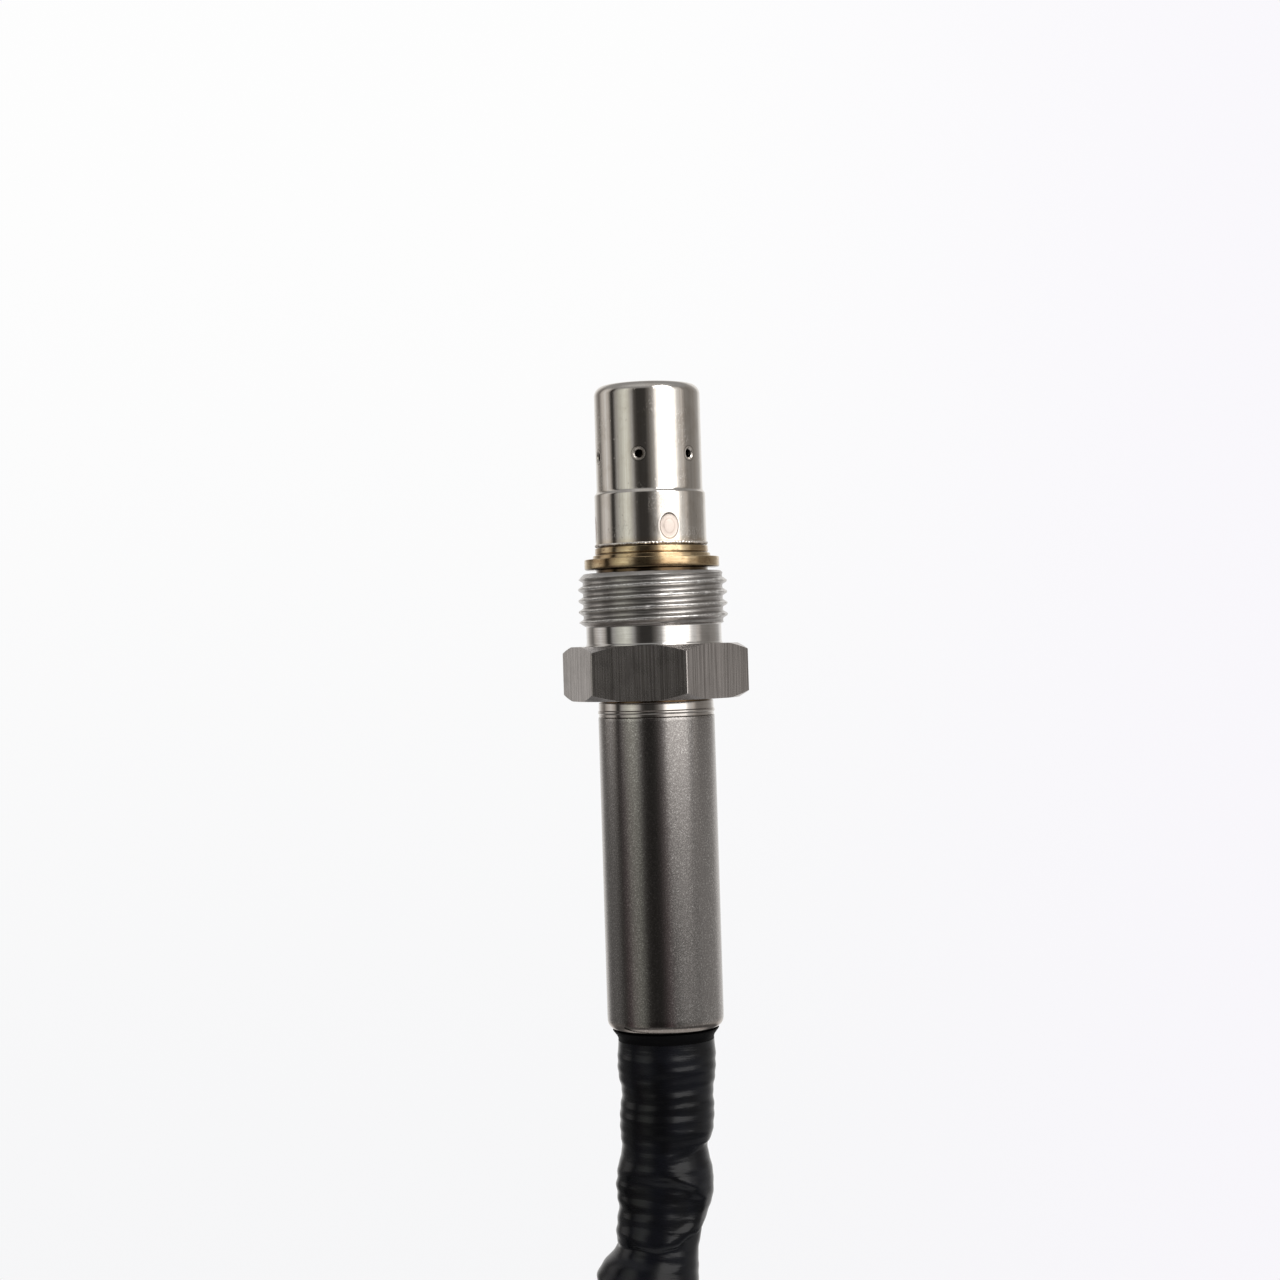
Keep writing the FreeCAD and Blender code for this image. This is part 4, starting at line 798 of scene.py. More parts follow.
@dataclass
class Studio:
    """Camera, surroundings and floor."""

    camera_place: Vector = Vector((-0.00190, -0.310, -0.0109))
    camera_roll: float = 1.75
    half_width: float = 0.0859
    floor_height: float = -0.372
    floor_radius: float = 0.86

    def build(self) -> None:
        """Make the camera, the world, the lamps and the floor."""
        scene = bpy.context.scene
        scene.view_settings.view_transform = "Standard"
        self.make_camera(scene)
        self.make_world(scene)
        self.make_lamp("key_lamp", Vector((0.55, -0.65, 0.75)), 0.7, 6.5, mirrored=True)
        self.make_lamp("fill_lamp", Vector((-0.75, -0.35, 0.45)), 0.7, 3.0)
        self.make_lamp("rear_lamp", Vector((0.1, 0.8, 0.6)), 0.8, 3.5)
        self.make_floor()

    def make_camera(self, scene: bpy.types.Scene) -> None:
        """Place the camera level with the hollow screw, a little rolled."""
        data = bpy.data.cameras.new("camera")
        data.sensor_fit = "HORIZONTAL"
        data.angle = 2 * math.atan2(self.half_width, -self.camera_place.y)
        data.clip_start = 0.01
        camera = add_object("camera", data)
        roll = math.radians(self.camera_roll)
        turn = Matrix((
            (math.cos(roll), math.sin(roll), 0.0, 0.0),
            (0.0, 0.0, -1.0, 0.0),
            (-math.sin(roll), math.cos(roll), 0.0, 0.0),
            (0.0, 0.0, 0.0, 1.0),
        ))
        camera.matrix_world = Matrix.Translation(self.camera_place) @ turn
        scene.camera = camera

    def make_world(self, scene: bpy.types.Scene) -> None:
        """Paint the studio around the object: panels, gaps between them and a pale backdrop."""
        world = bpy.data.worlds.new("studio")
        scene.world = world
        tree = ShaderTree(world)
        direction = tree.add("ShaderNodeTexCoord", None, None, "Generated")
        x, y, z = tree.split(direction)
        share = tree.math("ARCTAN2", x, y * -1.0) / FULL_TURN + 0.5
        upper = tree.ramp(share, self.panel_stops(UPPER_PANELS))
        lower = tree.ramp(share, self.panel_stops(LOWER_PANELS))
        sides = tree.blend(tree.step(z, -0.06, -0.022), lower, upper)
        for start, full, level in ZONES:
            sides = tree.blend(tree.step(z, start, full), sides, self.grey(level))
        sides = tree.blend(tree.step(z, 0.7, 0.9) * tree.step(y, 0.3, -0.3), sides, self.grey(0.6))
        panels = tree.add("ShaderNodeBackground", None, {"Color": sides, "Strength": PANEL_SCALE})
        height = tree.step(z, -0.3, 0.25)
        pale = tree.blend(height, (0.925, 0.925, 0.935, 1.0), (0.985, 0.985, 0.985, 1.0))
        pale = tree.blend(tree.step(x, -0.02, 0.3) * 0.8, pale, (0.945, 0.925, 0.972, 1.0))
        backdrop = tree.add("ShaderNodeBackground", None, {"Color": pale})
        seen = tree.add("ShaderNodeLightPath", None, None, "Is Camera Ray")
        both = tree.add("ShaderNodeMixShader", None, {0: seen, 1: panels, 2: backdrop})
        tree.add_output("ShaderNodeOutputWorld", both)

    @staticmethod
    def grey(level: float) -> Colour:
        """Return a neutral panel colour of a brightness."""
        part = level / PANEL_SCALE
        return (part, part, part, 1.0)

    @staticmethod
    def panel_stops(panels: Sequence[tuple]) -> list[tuple[float, Colour]]:
        """Turn azimuths, brightnesses and tints into the stops of a ramp."""
        stops = []
        for azimuth, level, *tint in panels:
            red, green, blue = tint[0] if tint else PLAIN_TINT
            part = level / PANEL_SCALE
            stops.append((azimuth / 360 + 0.5, (part * red, part * green, part * blue, 1.0)))
        return stops

    def make_lamp(self, name: str, place: Vector, size: float, power: float, mirrored: bool = False) -> None:
        """Add a soft lamp.

        Args:
            name: The lamp's name.
            place: Where it hangs, in metres.
            size: Its width in metres.
            power: Its power in watts.
            mirrored: Whether shiny surfaces show it.
        """
        data = bpy.data.lights.new(name, "AREA")
        data.shape = "DISK"
        data.size = size
        data.energy = power
        lamp = add_object(name, data)
        lamp.location = place
        lamp.rotation_euler = (-place).to_track_quat("-Z", "Y").to_euler()
        lamp.visible_glossy = mirrored

    def make_floor(self) -> None:
        """Lay a pale round floor below the object."""
        mesh = bmesh.new()
        bmesh.ops.create_circle(mesh, cap_ends=True, radius=self.floor_radius, segments=128)
        bmesh.ops.translate(mesh, verts=mesh.verts[:], vec=(0, 0, self.floor_height))
        bmesh.ops.recalc_face_normals(mesh, faces=mesh.faces[:])
        data = bpy.data.meshes.new("floor")
        mesh.to_mesh(data)
        mesh.free()
        material = bpy.data.materials.new("floor_paper")
        tree = ShaderTree(material)
        place = tree.place()
        cloud = tree.noise(place.vector, 0.02, 2.0, 0.5)
        colour = tree.blend(cloud, (0.8, 0.8, 0.81, 1.0), (0.84, 0.84, 0.84, 1.0))
        tree.surface(Base_Color=colour, Roughness=0.9)
        data.materials.append(material)
        floor = add_object("floor", data)
        floor.visible_glossy = False


# Distance from the exit, half width and shift to the right of the lead's twisted cover.
BULGES = (
    (0.0, 6.45, 0.0), (3.0, 6.62, 0.0), (7.4, 6.16, 0.0), (10.8, 6.34, 0.0), (14.4, 5.94, -0.15),
    (19.4, 6.56, 0.0), (24.0, 5.9, -0.15), (28.0, 5.62, -0.4), (32.6, 6.8, -1.0), (40.0, 6.4, -0.4),
)
# The crest of the raised roll: angle in degrees from +X and distance from the exit.
ROLL = (
    (-72.0, 17.6), (-64.0, 18.2), (-48.0, 18.9), (-38.0, 20.3), (-37.0, 22.0), (-41.0, 23.4), (-62.0, 25.2),
    (-84.0, 26.0),
)
# Folds of the cover: angles in degrees from +X, with distance from the exit and depth at each.
FOLDS = (
    ((90.0, 13.4, 0.2), (0.0, 13.4, 0.42), (-30.0, 13.8, 0.42), (-67.0, 14.7, 0.3), (-95.0, 15.2, 0.0)),
    ((90.0, 21.4, 0.3), (30.0, 22.6, 0.5), (0.0, 23.8, 0.7), (-47.0, 25.7, 0.7), (-73.0, 27.0, 0.5),
     (-97.0, 27.6, 0.35), (-118.0, 27.6, 0.4), (-170.0, 28.3, 0.6), (-215.0, 26.6, 0.5), (-270.0, 21.4, 0.3)),
    ((60.0, 36.5, 0.0), (30.0, 37.0, 0.5), (-60.0, 40.5, 0.4), (-160.0, 44.0, 0.3), (-200.0, 45.5, 0.0)),
    ((60.0, 54.0, 0.0), (20.0, 55.0, 0.4), (-150.0, 61.0, 0.2), (-200.0, 62.5, 0.0)),
)


@dataclass
class Lead:
    """The covered lead: its line and its twisted cover."""

    diameter: float = 12.6
    exit_height: float = -64.4
    declared_length: float = 0.61
    run: Table = (
        (0.0, 0.0, -64.4), (0.0, 0.0, -83.0), (-4.2, 0.0, -107.0), (-9.6, 0.0, -134.0), (-10.6, 0.0, -160.0))
    coil_centre: tuple[float, float] = (-78.8, -184.0)
    coil_radius: float = 68.0
    coil_shift: float = 13.0
    coil_points: int = 14
    tail: Table = ((-10.8, 13.0, -204.0), (-10.8, 13.0, -225.0), (-10.8, 13.0, -247.0))
    close_step: float = 0.22
    close_reach: float = 44.0
    far_step: float = 0.75
    sides: int = 84
    mean_radius: float = 6.12
    twist_pitch: float = 11.5
    front_share: float = 0.4
    front_least: float = 3.7
    fold_lip: float = 0.4
    fold_slope: float = 1.9
    ridge_height: float = 0.042
    wrinkle_height: float = 0.07
    wrinkle_pitch: float = 2.15
    wave_height: float = 0.04
    roll_height: float = 0.13
    roll_half_width: float = 0.9
    hollow_depth: float = 0.75
    hollow_top: float = 19.0
    hollow_length: float = 8.0
    path: list[tuple[float, ...]] = field(default_factory=list)

    def line(self) -> list[Vector]:
        """Return points along the NURBS line of the lead, in millimetres."""
        points = [Vector(point) for point in self.run]
        for index in range(self.coil_points + 1):
            share = index / self.coil_points
            angle = -FULL_TURN * share
            reach = self.coil_radius
            if 0 < index < self.coil_points:
                reach /= math.cos(math.pi / self.coil_points)
            points.append(Vector((
                self.coil_centre[0] + reach * math.cos(angle),
                self.coil_shift * share,
                self.coil_centre[1] + reach * math.sin(angle),
            )))
        points += [Vector(point) for point in self.tail]
        data = bpy.data.curves.new("lead_line", "CURVE")
        data.dimensions = "3D"
        spline = data.splines.new("NURBS")
        spline.points.add(len(points) - 1)
        for item, point in zip(spline.points, points):
            item.co = (*point, 1.0)
        spline.order_u = 3
        spline.use_endpoint_u = True
        spline.resolution_u = 24
        holder = add_object("lead_line", data)
        mesh = worked_out(holder)
        line = [vertex.co.copy() for vertex in mesh.vertices]
        bpy.data.objects.remove(holder)
        bpy.data.curves.remove(data)
        bpy.data.meshes.remove(mesh)
        return line

    def stations(self, line: list[Vector]) -> list[tuple[float, Vector]]:
        """Space stations along the line, close together where the picture shows the lead.

        Args:
            line: The points of the line.

        Returns:
            The distance from the exit and the place of each station.
        """
        found = [(0.0, line[0].copy())]
        passed, wanted = 0.0, self.close_step
        for start, end in zip(line, line[1:]):
            span = (end - start).length
            while span > 0 and wanted <= passed + span:
                found.append((wanted, start.lerp(end, (wanted - passed) / span)))
                wanted += self.close_step if wanted < self.close_reach else self.far_step
            passed += span
        return found

    @staticmethod
    def smooth(value: float, low: float, high: float) -> float:
        """Return a smooth step from 0 at low to 1 at high."""
        share = min(1.0, max(0.0, (value - low) / (high - low)))
        return share * share * (3 - 2 * share)

    def cover_radius(self, distance: float, angle: float) -> float:
        """Return the cover's radius at a place along and around the lead.

        Args:
            distance: Distance from the exit, in millimetres.
            angle: Angle around the line, 0 at the right-hand side and growing towards the front.

        Returns:
            The radius in millimetres.
        """
        side, shift = self.bulge(distance)
        front = self.front_share * side + self.front_least
        toward_right = math.cos(angle)
        radius = side * toward_right ** 2 + front * math.sin(angle) ** 2 + shift * toward_right
        turn = (-math.degrees(angle) + 270) % 360 - 270
        fold = sum(self.fold_depth(distance, turn, line) for line in FOLDS)
        calm = 1 - 0.5 * self.smooth(distance, 12.5, 16.0)
        ring = math.sin(FULL_TURN * distance / RING_PITCH + 0.6 * math.sin(2 * angle))
        wrinkled = self.smooth(-toward_right, -0.1, 0.7) * self.smooth(distance, 15.0, 19.0)
        crease = math.sin(FULL_TURN * distance / self.wrinkle_pitch + 1.3 * math.sin(angle))
        wave = math.sin(distance * 0.83 + 1.4 * math.cos(angle)) + math.sin(distance * 1.57 + 2 * angle)
        uneven = self.ridge_height * ring * calm + self.wrinkle_height * crease * wrinkled \
            + self.wave_height * wave
        loose = self.smooth(distance, 0.5, 3.0)
        return radius - fold + self.lobe_height(distance, turn) + uneven * loose

    def fold_depth(self, distance: float, turn: float, line: Sequence[tuple[float, float, float]]) -> float:
        """Return how deep a fold cuts in at a place: steeply from above, gently from below.

        Args:
            distance: Distance from the exit, in millimetres.
            turn: Angle around the line in degrees, -90 at the front.
            line: The fold's angles from high to low, with the distance and the depth at each.

        Returns:
            The depth in millimetres.
        """
        for (first, near, shallow), (last, far, deep) in zip(line, line[1:]):
            if last <= turn <= first:
                share = self.smooth(first - turn, 0.0, first - last)
                below = distance - (near + (far - near) * share)
                reach = self.fold_lip if below < 0 else self.fold_slope
                return (shallow + (deep - shallow) * share) * math.exp(-(abs(below) / reach) ** 1.5)
        return 0.0

    def lobe_height(self, distance: float, turn: float) -> float:
        """Return the height of the lobe that the twist pushes up: a roll around a hollow front.

        Args:
            distance: Distance from the exit, in millimetres.
            turn: Angle around the line in degrees, -90 at the front.

        Returns:
            The height in millimetres, below zero in the hollow.
        """
        if not ROLL[0][1] - 3 < distance < ROLL[-1][1] + 3:
            return 0.0
        scale = math.radians(self.diameter / 2)
        here = Vector((turn * scale, distance))
        nearest = 9.0
        for start, end in zip(ROLL, ROLL[1:]):
            first, last = Vector((start[0] * scale, start[1])), Vector((end[0] * scale, end[1]))
            along = last - first
            share = min(1.0, max(0.0, (here - first).dot(along) / along.length_squared))
            nearest = min(nearest, (here - first - along * share).length)
        crest = ROLL[-1][0]
        for (low, near), (high, far) in zip(ROLL, ROLL[1:]):
            if near <= distance <= far:
                crest = low + (high - low) * (distance - near) / (far - near)
        within = self.smooth(turn, -170.0, -115.0) * (1 - self.smooth(turn, crest - 20.0, crest + 1.0))
        rising = min(1.0, max(0.0, (distance - self.hollow_top) / self.hollow_length))
        sunk = self.hollow_depth * self.smooth(distance, 16.6, 19.4) * (1 - rising)
        return self.roll_height * math.exp(-(nearest / self.roll_half_width) ** 2) - sunk * within

    def bulge(self, distance: float) -> tuple[float, float]:
        """Return the half width of the cover seen from the usual side, and its shift to the right.

        Args:
            distance: Distance from the exit, in millimetres.

        Returns:
            The half width and the shift in millimetres.
        """
        if distance >= BULGES[-1][0]:
            beyond = distance - BULGES[-1][0]
            size = 0.5 - 0.35 * self.smooth(beyond, 10.0, 60.0)
            twist = math.cos(FULL_TURN * beyond / self.twist_pitch)
            return self.mean_radius + size * twist, BULGES[-1][2] * math.exp(-beyond / 5.0)
        for start, end in zip(BULGES, BULGES[1:]):
            if distance <= end[0]:
                share = self.smooth(distance, start[0], end[0])
                return start[1] + (end[1] - start[1]) * share, start[2] + (end[2] - start[2]) * share
        return BULGES[-1][1:]

    def build_cover(self) -> bpy.types.Object:
        """Make the cover as one tube along the line, mapped in millimetres around and along it.

        Returns:
            The cover piece.
        """
        line = self.line()
        self.path = [tuple(point * MM) for point in line]
        stations = self.stations(line)
        blank = Blank()
        mesh = blank.mesh
        chart = mesh.loops.layers.uv.new("cover")
        bmesh.ops.create_grid(mesh, x_segments=self.sides, y_segments=len(stations) - 1, size=1.0)
        mesh.verts.ensure_lookup_table()
        width = len(mesh.verts) // len(stations)
        side = Vector((1.0, 0.0, 0.0))
        for number, (distance, centre) in enumerate(stations):
            before = stations[max(0, number - 1)][1]
            after = stations[min(len(stations) - 1, number + 1)][1]
            ahead = (after - before).normalized()
            side = (side - ahead * side.dot(ahead)).normalized()
            front = ahead.cross(side)
            for step in range(width):
                angle = FULL_TURN * step / self.sides
                reach = self.cover_radius(distance, angle)
                place = centre + (side * math.cos(angle) + front * math.sin(angle)) * reach
                mesh.verts[number * width + step].co = place
        girth = math.pi * self.diameter
        for face in mesh.faces:
            for loop in face.loops:
                row, step = divmod(loop.vert.index, width)
                loop[chart].uv = (step / self.sides * girth, stations[row][0])
        bmesh.ops.remove_doubles(mesh, verts=mesh.verts[:], dist=1e-4)
        bmesh.ops.holes_fill(mesh, edges=mesh.edges[:], sides=0)
        bmesh.ops.recalc_face_normals(mesh, faces=mesh.faces[:])
        return blank.finish("lead_cover_tube", LEAD_COVER, Body.SENSOR,
                            "cable_run", "cable_coil", "cable_tail", sharp=60.0)


@dataclass
class Probe:
    """The cap, the housing, the collar, the sleeve and the boot, all turned about the axis."""

    marks: CapMarks = CapMarks()
    cap_top: float = 23.53
    skirt_radius: float = 7.44
    skirt_foot: float = 1.66
    first_row: float = 1.8
    row_height: float = 0.13
    skirt_rows: int = 50
    weld_ripples: Table = ((0.035, 96, 0.0), (0.02, 47, 1.0))
    weld_waves: Table = ((0.03, 31, 0.0), (0.02, 83, 0.0))
    neck_radius: float = 7.5
    neck_foot: float = -19.15
    sleeve_radius: float = 7.8
    sleeve_top: float = -21.1
    sleeve_foot: float = -62.86
    boot_foot: float = -64.4

    def build(self) -> None:
        """Make every turned piece of the sensor."""
        self.make_cap()
        self.make_weld()
        self.make_housing()
        self.make_collar()
        self.make_sleeve()
        self.make_boot()

    def make_cap(self) -> None:
        """Make the drawn cap with its gas holes and weld spots."""
        skirt, foot, wall, top = self.skirt_radius, self.skirt_foot, self.marks.wall_radius, self.cap_top
        rows = [(skirt, self.first_row + self.row_height * row) for row in range(self.skirt_rows)]
        outline = [(6.9, foot), (skirt - 0.08, foot)] + rows + [
            (skirt, 8.58, 0.12), (wall + 0.04, 8.92, 0.2), (wall + 0.01, 9.4), (wall, top - 0.53, 1.15),
            (5.0, top - 0.17, 0.9), (2.6, top - 0.03), (0.8, top), (0.8, top - 0.5), (3.4, top - 0.63),
            (6.5, top - 1.13, 0.7), (6.5, 8.6), (6.9, 8.2),
        ]
        cap = Blank.turned(outline, 256)
        holes = Blank()
        bore, sink = self.marks.hole_radius, self.marks.sink_radius
        for index in range(round(360 / self.marks.hole_spacing)):
            angle = math.radians(self.marks.hole_turn + self.marks.hole_spacing * (index + 0.5))
            tool = Blank.turned([(0.0, 4.0), (bore, 4.0), (bore, 6.9), (sink, 7.4), (0.0, 7.4)], 40)
            holes.take(self.aimed(tool.mesh, angle))
        cap.cut(holes)
        self.press_spots(cap.mesh)
        cap.finish("protection_cap", CAP_STEEL, Body.SENSOR, "outer_protection_cap", sharp=28.0)

    def aimed(self, tool: bmesh.types.BMesh, angle: float) -> bmesh.types.BMesh:
        """Turn a cutter from the axis to a level direction at the gas holes' height."""
        turn = Matrix.Rotation(angle, 4, "Z") @ Matrix.Rotation(math.pi / 2, 4, "Y")
        bmesh.ops.transform(tool, matrix=Matrix.Translation((0, 0, self.marks.hole_height)) @ turn,
                            verts=tool.verts[:])
        return tool

    def press_spots(self, mesh: bmesh.types.BMesh) -> None:
        """Press the three oval weld spots into the skirt."""
        marks = self.marks
        for vertex in mesh.verts:
            if math.hypot(vertex.co.x, vertex.co.y) < self.skirt_radius - 0.04:
                continue
            turn = math.degrees(math.atan2(vertex.co.y, vertex.co.x))
            for spot in marks.spot_turns:
                across = math.radians((turn - spot + 180) % 360 - 180) * self.skirt_radius
                away = across / marks.spot_half_width
                up = (vertex.co.z - marks.spot_height) / marks.spot_half_height
                distance = math.hypot(away, up)
                if distance > marks.spot_reach:
                    continue
                rim = marks.spot_rim * math.exp(-((distance - 1.05) / 0.1) ** 2)
                floor = marks.spot_depth * min(1.0, max(0.0, (0.97 - distance) / 0.12))
                mound = marks.spot_mound * math.exp(-(distance / 0.55) ** 4)
                out = Vector((vertex.co.x, vertex.co.y, 0)).normalized()
                vertex.co += out * (rim - floor + mound)

    def make_weld(self) -> None:
        """Make the rippled weld line where the skirt meets the step ring."""
        skirt, foot = self.skirt_radius, self.skirt_foot
        weld = Blank.turned([
            (7.2, foot), (skirt, foot), (skirt + 0.09, foot + 0.06), (skirt + 0.11, foot + 0.18),
            (skirt + 0.07, foot + 0.3), (skirt - 0.04, foot + 0.36), (7.2, foot + 0.36),
        ], 480)
        for vertex in weld.mesh.verts:
            radius = math.hypot(vertex.co.x, vertex.co.y)
            if radius > skirt - 0.035:
                turn = math.atan2(vertex.co.y, vertex.co.x)
                share = 1 + self.ripple(turn, self.weld_ripples) / radius
                vertex.co.x *= share
                vertex.co.y *= share
                vertex.co.z += self.ripple(turn, self.weld_waves)
        weld.finish("skirt_weld", WELD_STEEL, Body.SENSOR, sharp=60.0, slot=CAP_STEEL.name)

    @staticmethod
    def ripple(turn: float, waves: Table) -> float:
        """Add up waves around the axis, each given by its height, its count and its phase."""
        return sum(height * math.sin(count * turn + phase) for height, count, phase in waves)

    def make_housing(self) -> None:
        """Make the housing with its step ring, flange and neck."""
        neck, foot = self.neck_radius, self.neck_foot
        Blank.turned([
            (4.3, 6.0), (6.85, 6.0), (6.85, 1.68), (7.3, 1.68), (7.3, 1.5), (7.56, 1.48, 0.05),
            (7.6, 0.74, 0.04), (7.5, 0.66), (7.5, 0.6), (7.86, 0.5, 0.06), (7.92, 0.0), (9.05, 0.0, 0.1),
            (9.05, -1.3, 0.12), (8.86, -1.4), (neck, -1.4, 0.1), (neck, foot), (7.25, foot), (7.25, -26.0),
            (4.8, -26.0), (4.8, -25.2), (5.7, -25.2), (5.7, 1.2), (4.3, 1.2),
        ]).finish("tinted_housing", HOUSING_STEEL, Body.SENSOR, "sensor_housing")

    def make_collar(self) -> None:
        """Make the stop collar: a straight band, a bead and a groove above the sleeve."""
        top, foot = self.neck_foot, self.sleeve_top
        Blank.turned([
            (7.3, top), (7.7, top, 0.1), (7.72, -20.2, 0.06), (7.84, -20.3, 0.06), (7.84, -20.62, 0.06),
            (7.7, -20.72), (7.7, -21.02), (7.78, foot), (7.3, foot),
        ]).finish("polished_collar", COLLAR_STEEL, Body.SENSOR, "stop_collar")

    def make_sleeve(self) -> None:
        """Make the drawn sleeve, open at its top and drawn in at its foot."""
        outside, top, foot = self.sleeve_radius, self.sleeve_top - 0.02, self.sleeve_foot
        Blank.turned([
            (7.3, top), (outside, top, 0.12), (outside, top - 0.48), (outside, foot + 1.56),
            (outside, foot, 1.25), (5.8, foot), (5.8, foot + 0.56), (7.3, foot + 0.56, 0.9),
        ]).finish("satin_sleeve", SLEEVE_STEEL, Body.SENSOR, "rear_sleeve")

    def make_boot(self) -> None:
        """Make the boot that fills the sleeve's mouth and flares below it."""
        foot = self.boot_foot
        Blank.turned([
            (4.6, foot), (6.4, foot, 0.1), (6.46, foot + 0.5, 0.3), (7.1, -63.06, 0.05), (7.14, -62.98, 0.03),
            (7.0, -62.92, 0.02), (5.75, -62.9), (5.75, -62.3), (5.5, -62.3), (5.5, -60.5), (4.6, -60.5),
        ]).finish("flared_boot", BOOT_RUBBER, Body.SENSOR, "lead_boot")


# Use has marked the thread outside this radius, in millimetres.
KNOCKED_RADIUS = 9.8


@dataclass
class HollowScrew:
    """The free-turning screw: a real right-hand thread, a relief and a hexagon."""

    pitch: float = 1.5
    crest_at_left: float = -5.48
    steps: int = 150
    copied_turns: tuple[int, ...] = (-4, -3, -2, -1, 1, 2)
    front_cone: float = 9.2
    rear_cone: float = 9.1
    rear_slope: float = 1.5
    top: float = -1.9
    foot: float = -8.98
    crest: float = 10.0
    bore: float = 7.58
    relief: float = 9.075
    hex_top: float = -11.6
    hex_foot: float = -19.0
    across_flats: float = 22.0
    corner_turn: float = 48.6
    corner_round: float = 0.14
    foot_lift: float = 0.15
    face_radius: float = 11.2
    cone_radius: float = 12.9
    cone_height: float = 1.0
    flank: Table = (
        (0.75, 9.36), (0.62, 9.36), (0.53, 9.385), (0.47, 9.44), (0.40, 9.55), (0.33, 9.66), (0.26, 9.77),
        (0.19, 9.88), (0.13, 9.955), (0.07, 9.995),
    )

    def build(self) -> None:
        """Make the threaded barrel and the hexagon as two pieces on the screw's body."""
        barrel = self.make_barrel()
        barrel.finish("threaded_screw", THREAD_STEEL, Body.SCREW, "hollow_screw", sharp=50.0)
        self.make_hexagon().finish("screw_hexagon", HEX_STEEL, Body.SCREW, "hollow_screw", sharp=20.0,
                                   slot=THREAD_STEEL.name)

    def limit(self, height: float) -> float:
        """Return how far out the thread reaches at a height, with its ends coned off."""
        front = self.front_cone + (self.top - height)
        rear = self.rear_cone + (height - self.foot) * self.rear_slope
        return min(front, rear, self.crest)

    def make_barrel(self) -> Blank:
        """Make the thread as one helical surface and close it into a barrel.

        Returns:
            The barrel.
        """
        blank = Blank()
        mesh = blank.mesh
        rising = [(-away, radius) for away, radius in self.flank]
        profile = [*rising, (0.0, self.crest), *reversed(self.flank)]
        chain = [mesh.verts.new((-radius, 0.0, self.crest_at_left + away)) for away, radius in profile]
        edges = [mesh.edges.new(pair) for pair in zip(chain, chain[1:])]
        bmesh.ops.spin(mesh, geom=chain + edges, cent=(0, 0, 0), axis=(0, 0, 1), angle=FULL_TURN,
                       dvec=(0, 0, self.pitch / self.steps), steps=self.steps, use_merge=False)
        one_turn = mesh.verts[:] + mesh.edges[:] + mesh.faces[:]
        for turn in self.copied_turns:
            copied = bmesh.ops.duplicate(mesh, geom=one_turn)["geom"]
            moved = [item for item in copied if isinstance(item, bmesh.types.BMVert)]
            bmesh.ops.translate(mesh, verts=moved, vec=(0, 0, self.pitch * turn))
        bmesh.ops.remove_doubles(mesh, verts=mesh.verts[:], dist=1e-3)
        for height, outside in ((self.top, 1.0), (self.foot, -1.0)):
            bmesh.ops.bisect_plane(mesh, geom=mesh.verts[:] + mesh.edges[:] + mesh.faces[:], dist=1e-5,
                                   plane_co=(0, 0, height), plane_no=(0, 0, outside), clear_outer=True)
        for vertex in mesh.verts:
            radius = math.hypot(vertex.co.x, vertex.co.y)
            wanted = min(radius - self.nick(vertex.co, radius), self.limit(vertex.co.z))
            share = wanted / radius
            vertex.co.x *= share
            vertex.co.y *= share
        rims = [edge for edge in mesh.edges if edge.is_boundary]
        top_rim = [edge for edge in rims if all(abs(v.co.z - self.top) < 1e-3 for v in edge.verts)]
        low_rim = [edge for edge in rims if all(abs(v.co.z - self.foot) < 1e-3 for v in edge.verts)]
        relief, shoulder, inner_foot = self.relief, self.hex_top, self.hex_foot + 0.4
        for radius, height in (
            (relief, self.foot - 0.05), (relief, self.foot - 0.14), (relief, shoulder + 0.4),
            (9.13, shoulder + 0.18), (9.3, shoulder - 0.02), (9.3, inner_foot), (self.bore, inner_foot),
            (self.bore, self.top - 0.2), (7.72, self.top),
        ):
            low_rim = self.grow(mesh, low_rim, radius, height)
        bmesh.ops.bridge_loops(mesh, edges=low_rim + top_rim)
        bmesh.ops.recalc_face_normals(mesh, faces=mesh.faces[:])
        return blank

    @staticmethod
    def nick(place: Vector, radius: float) -> float:
        """Return how deep use has knocked a point of the crest in, in millimetres."""
        if radius < KNOCKED_RADIUS:
            return 0.0
        rough = noise.noise(Vector((place.x * 1.3, place.y * 1.3, place.z * 1.1)))
        fine = noise.noise(Vector((place.x * 3.7, place.y * 3.7, place.z * 2.9)))
        return max(0.0, rough - 0.12) * 0.28 + max(0.0, fine) * 0.06

    @staticmethod
    def grow(mesh: bmesh.types.BMesh, rim: list, radius: float, height: float) -> list:
        """Extrude a rim to a circle of another radius and height, and return the new rim."""
        grown = bmesh.ops.extrude_edge_only(mesh, edges=rim)["geom"]
        for vertex in (item for item in grown if isinstance(item, bmesh.types.BMVert)):
            out = Vector((vertex.co.x, vertex.co.y, 0)).normalized() * radius
            vertex.co = (out.x, out.y, height)
        return [item for item in grown if isinstance(item, bmesh.types.BMEdge)]

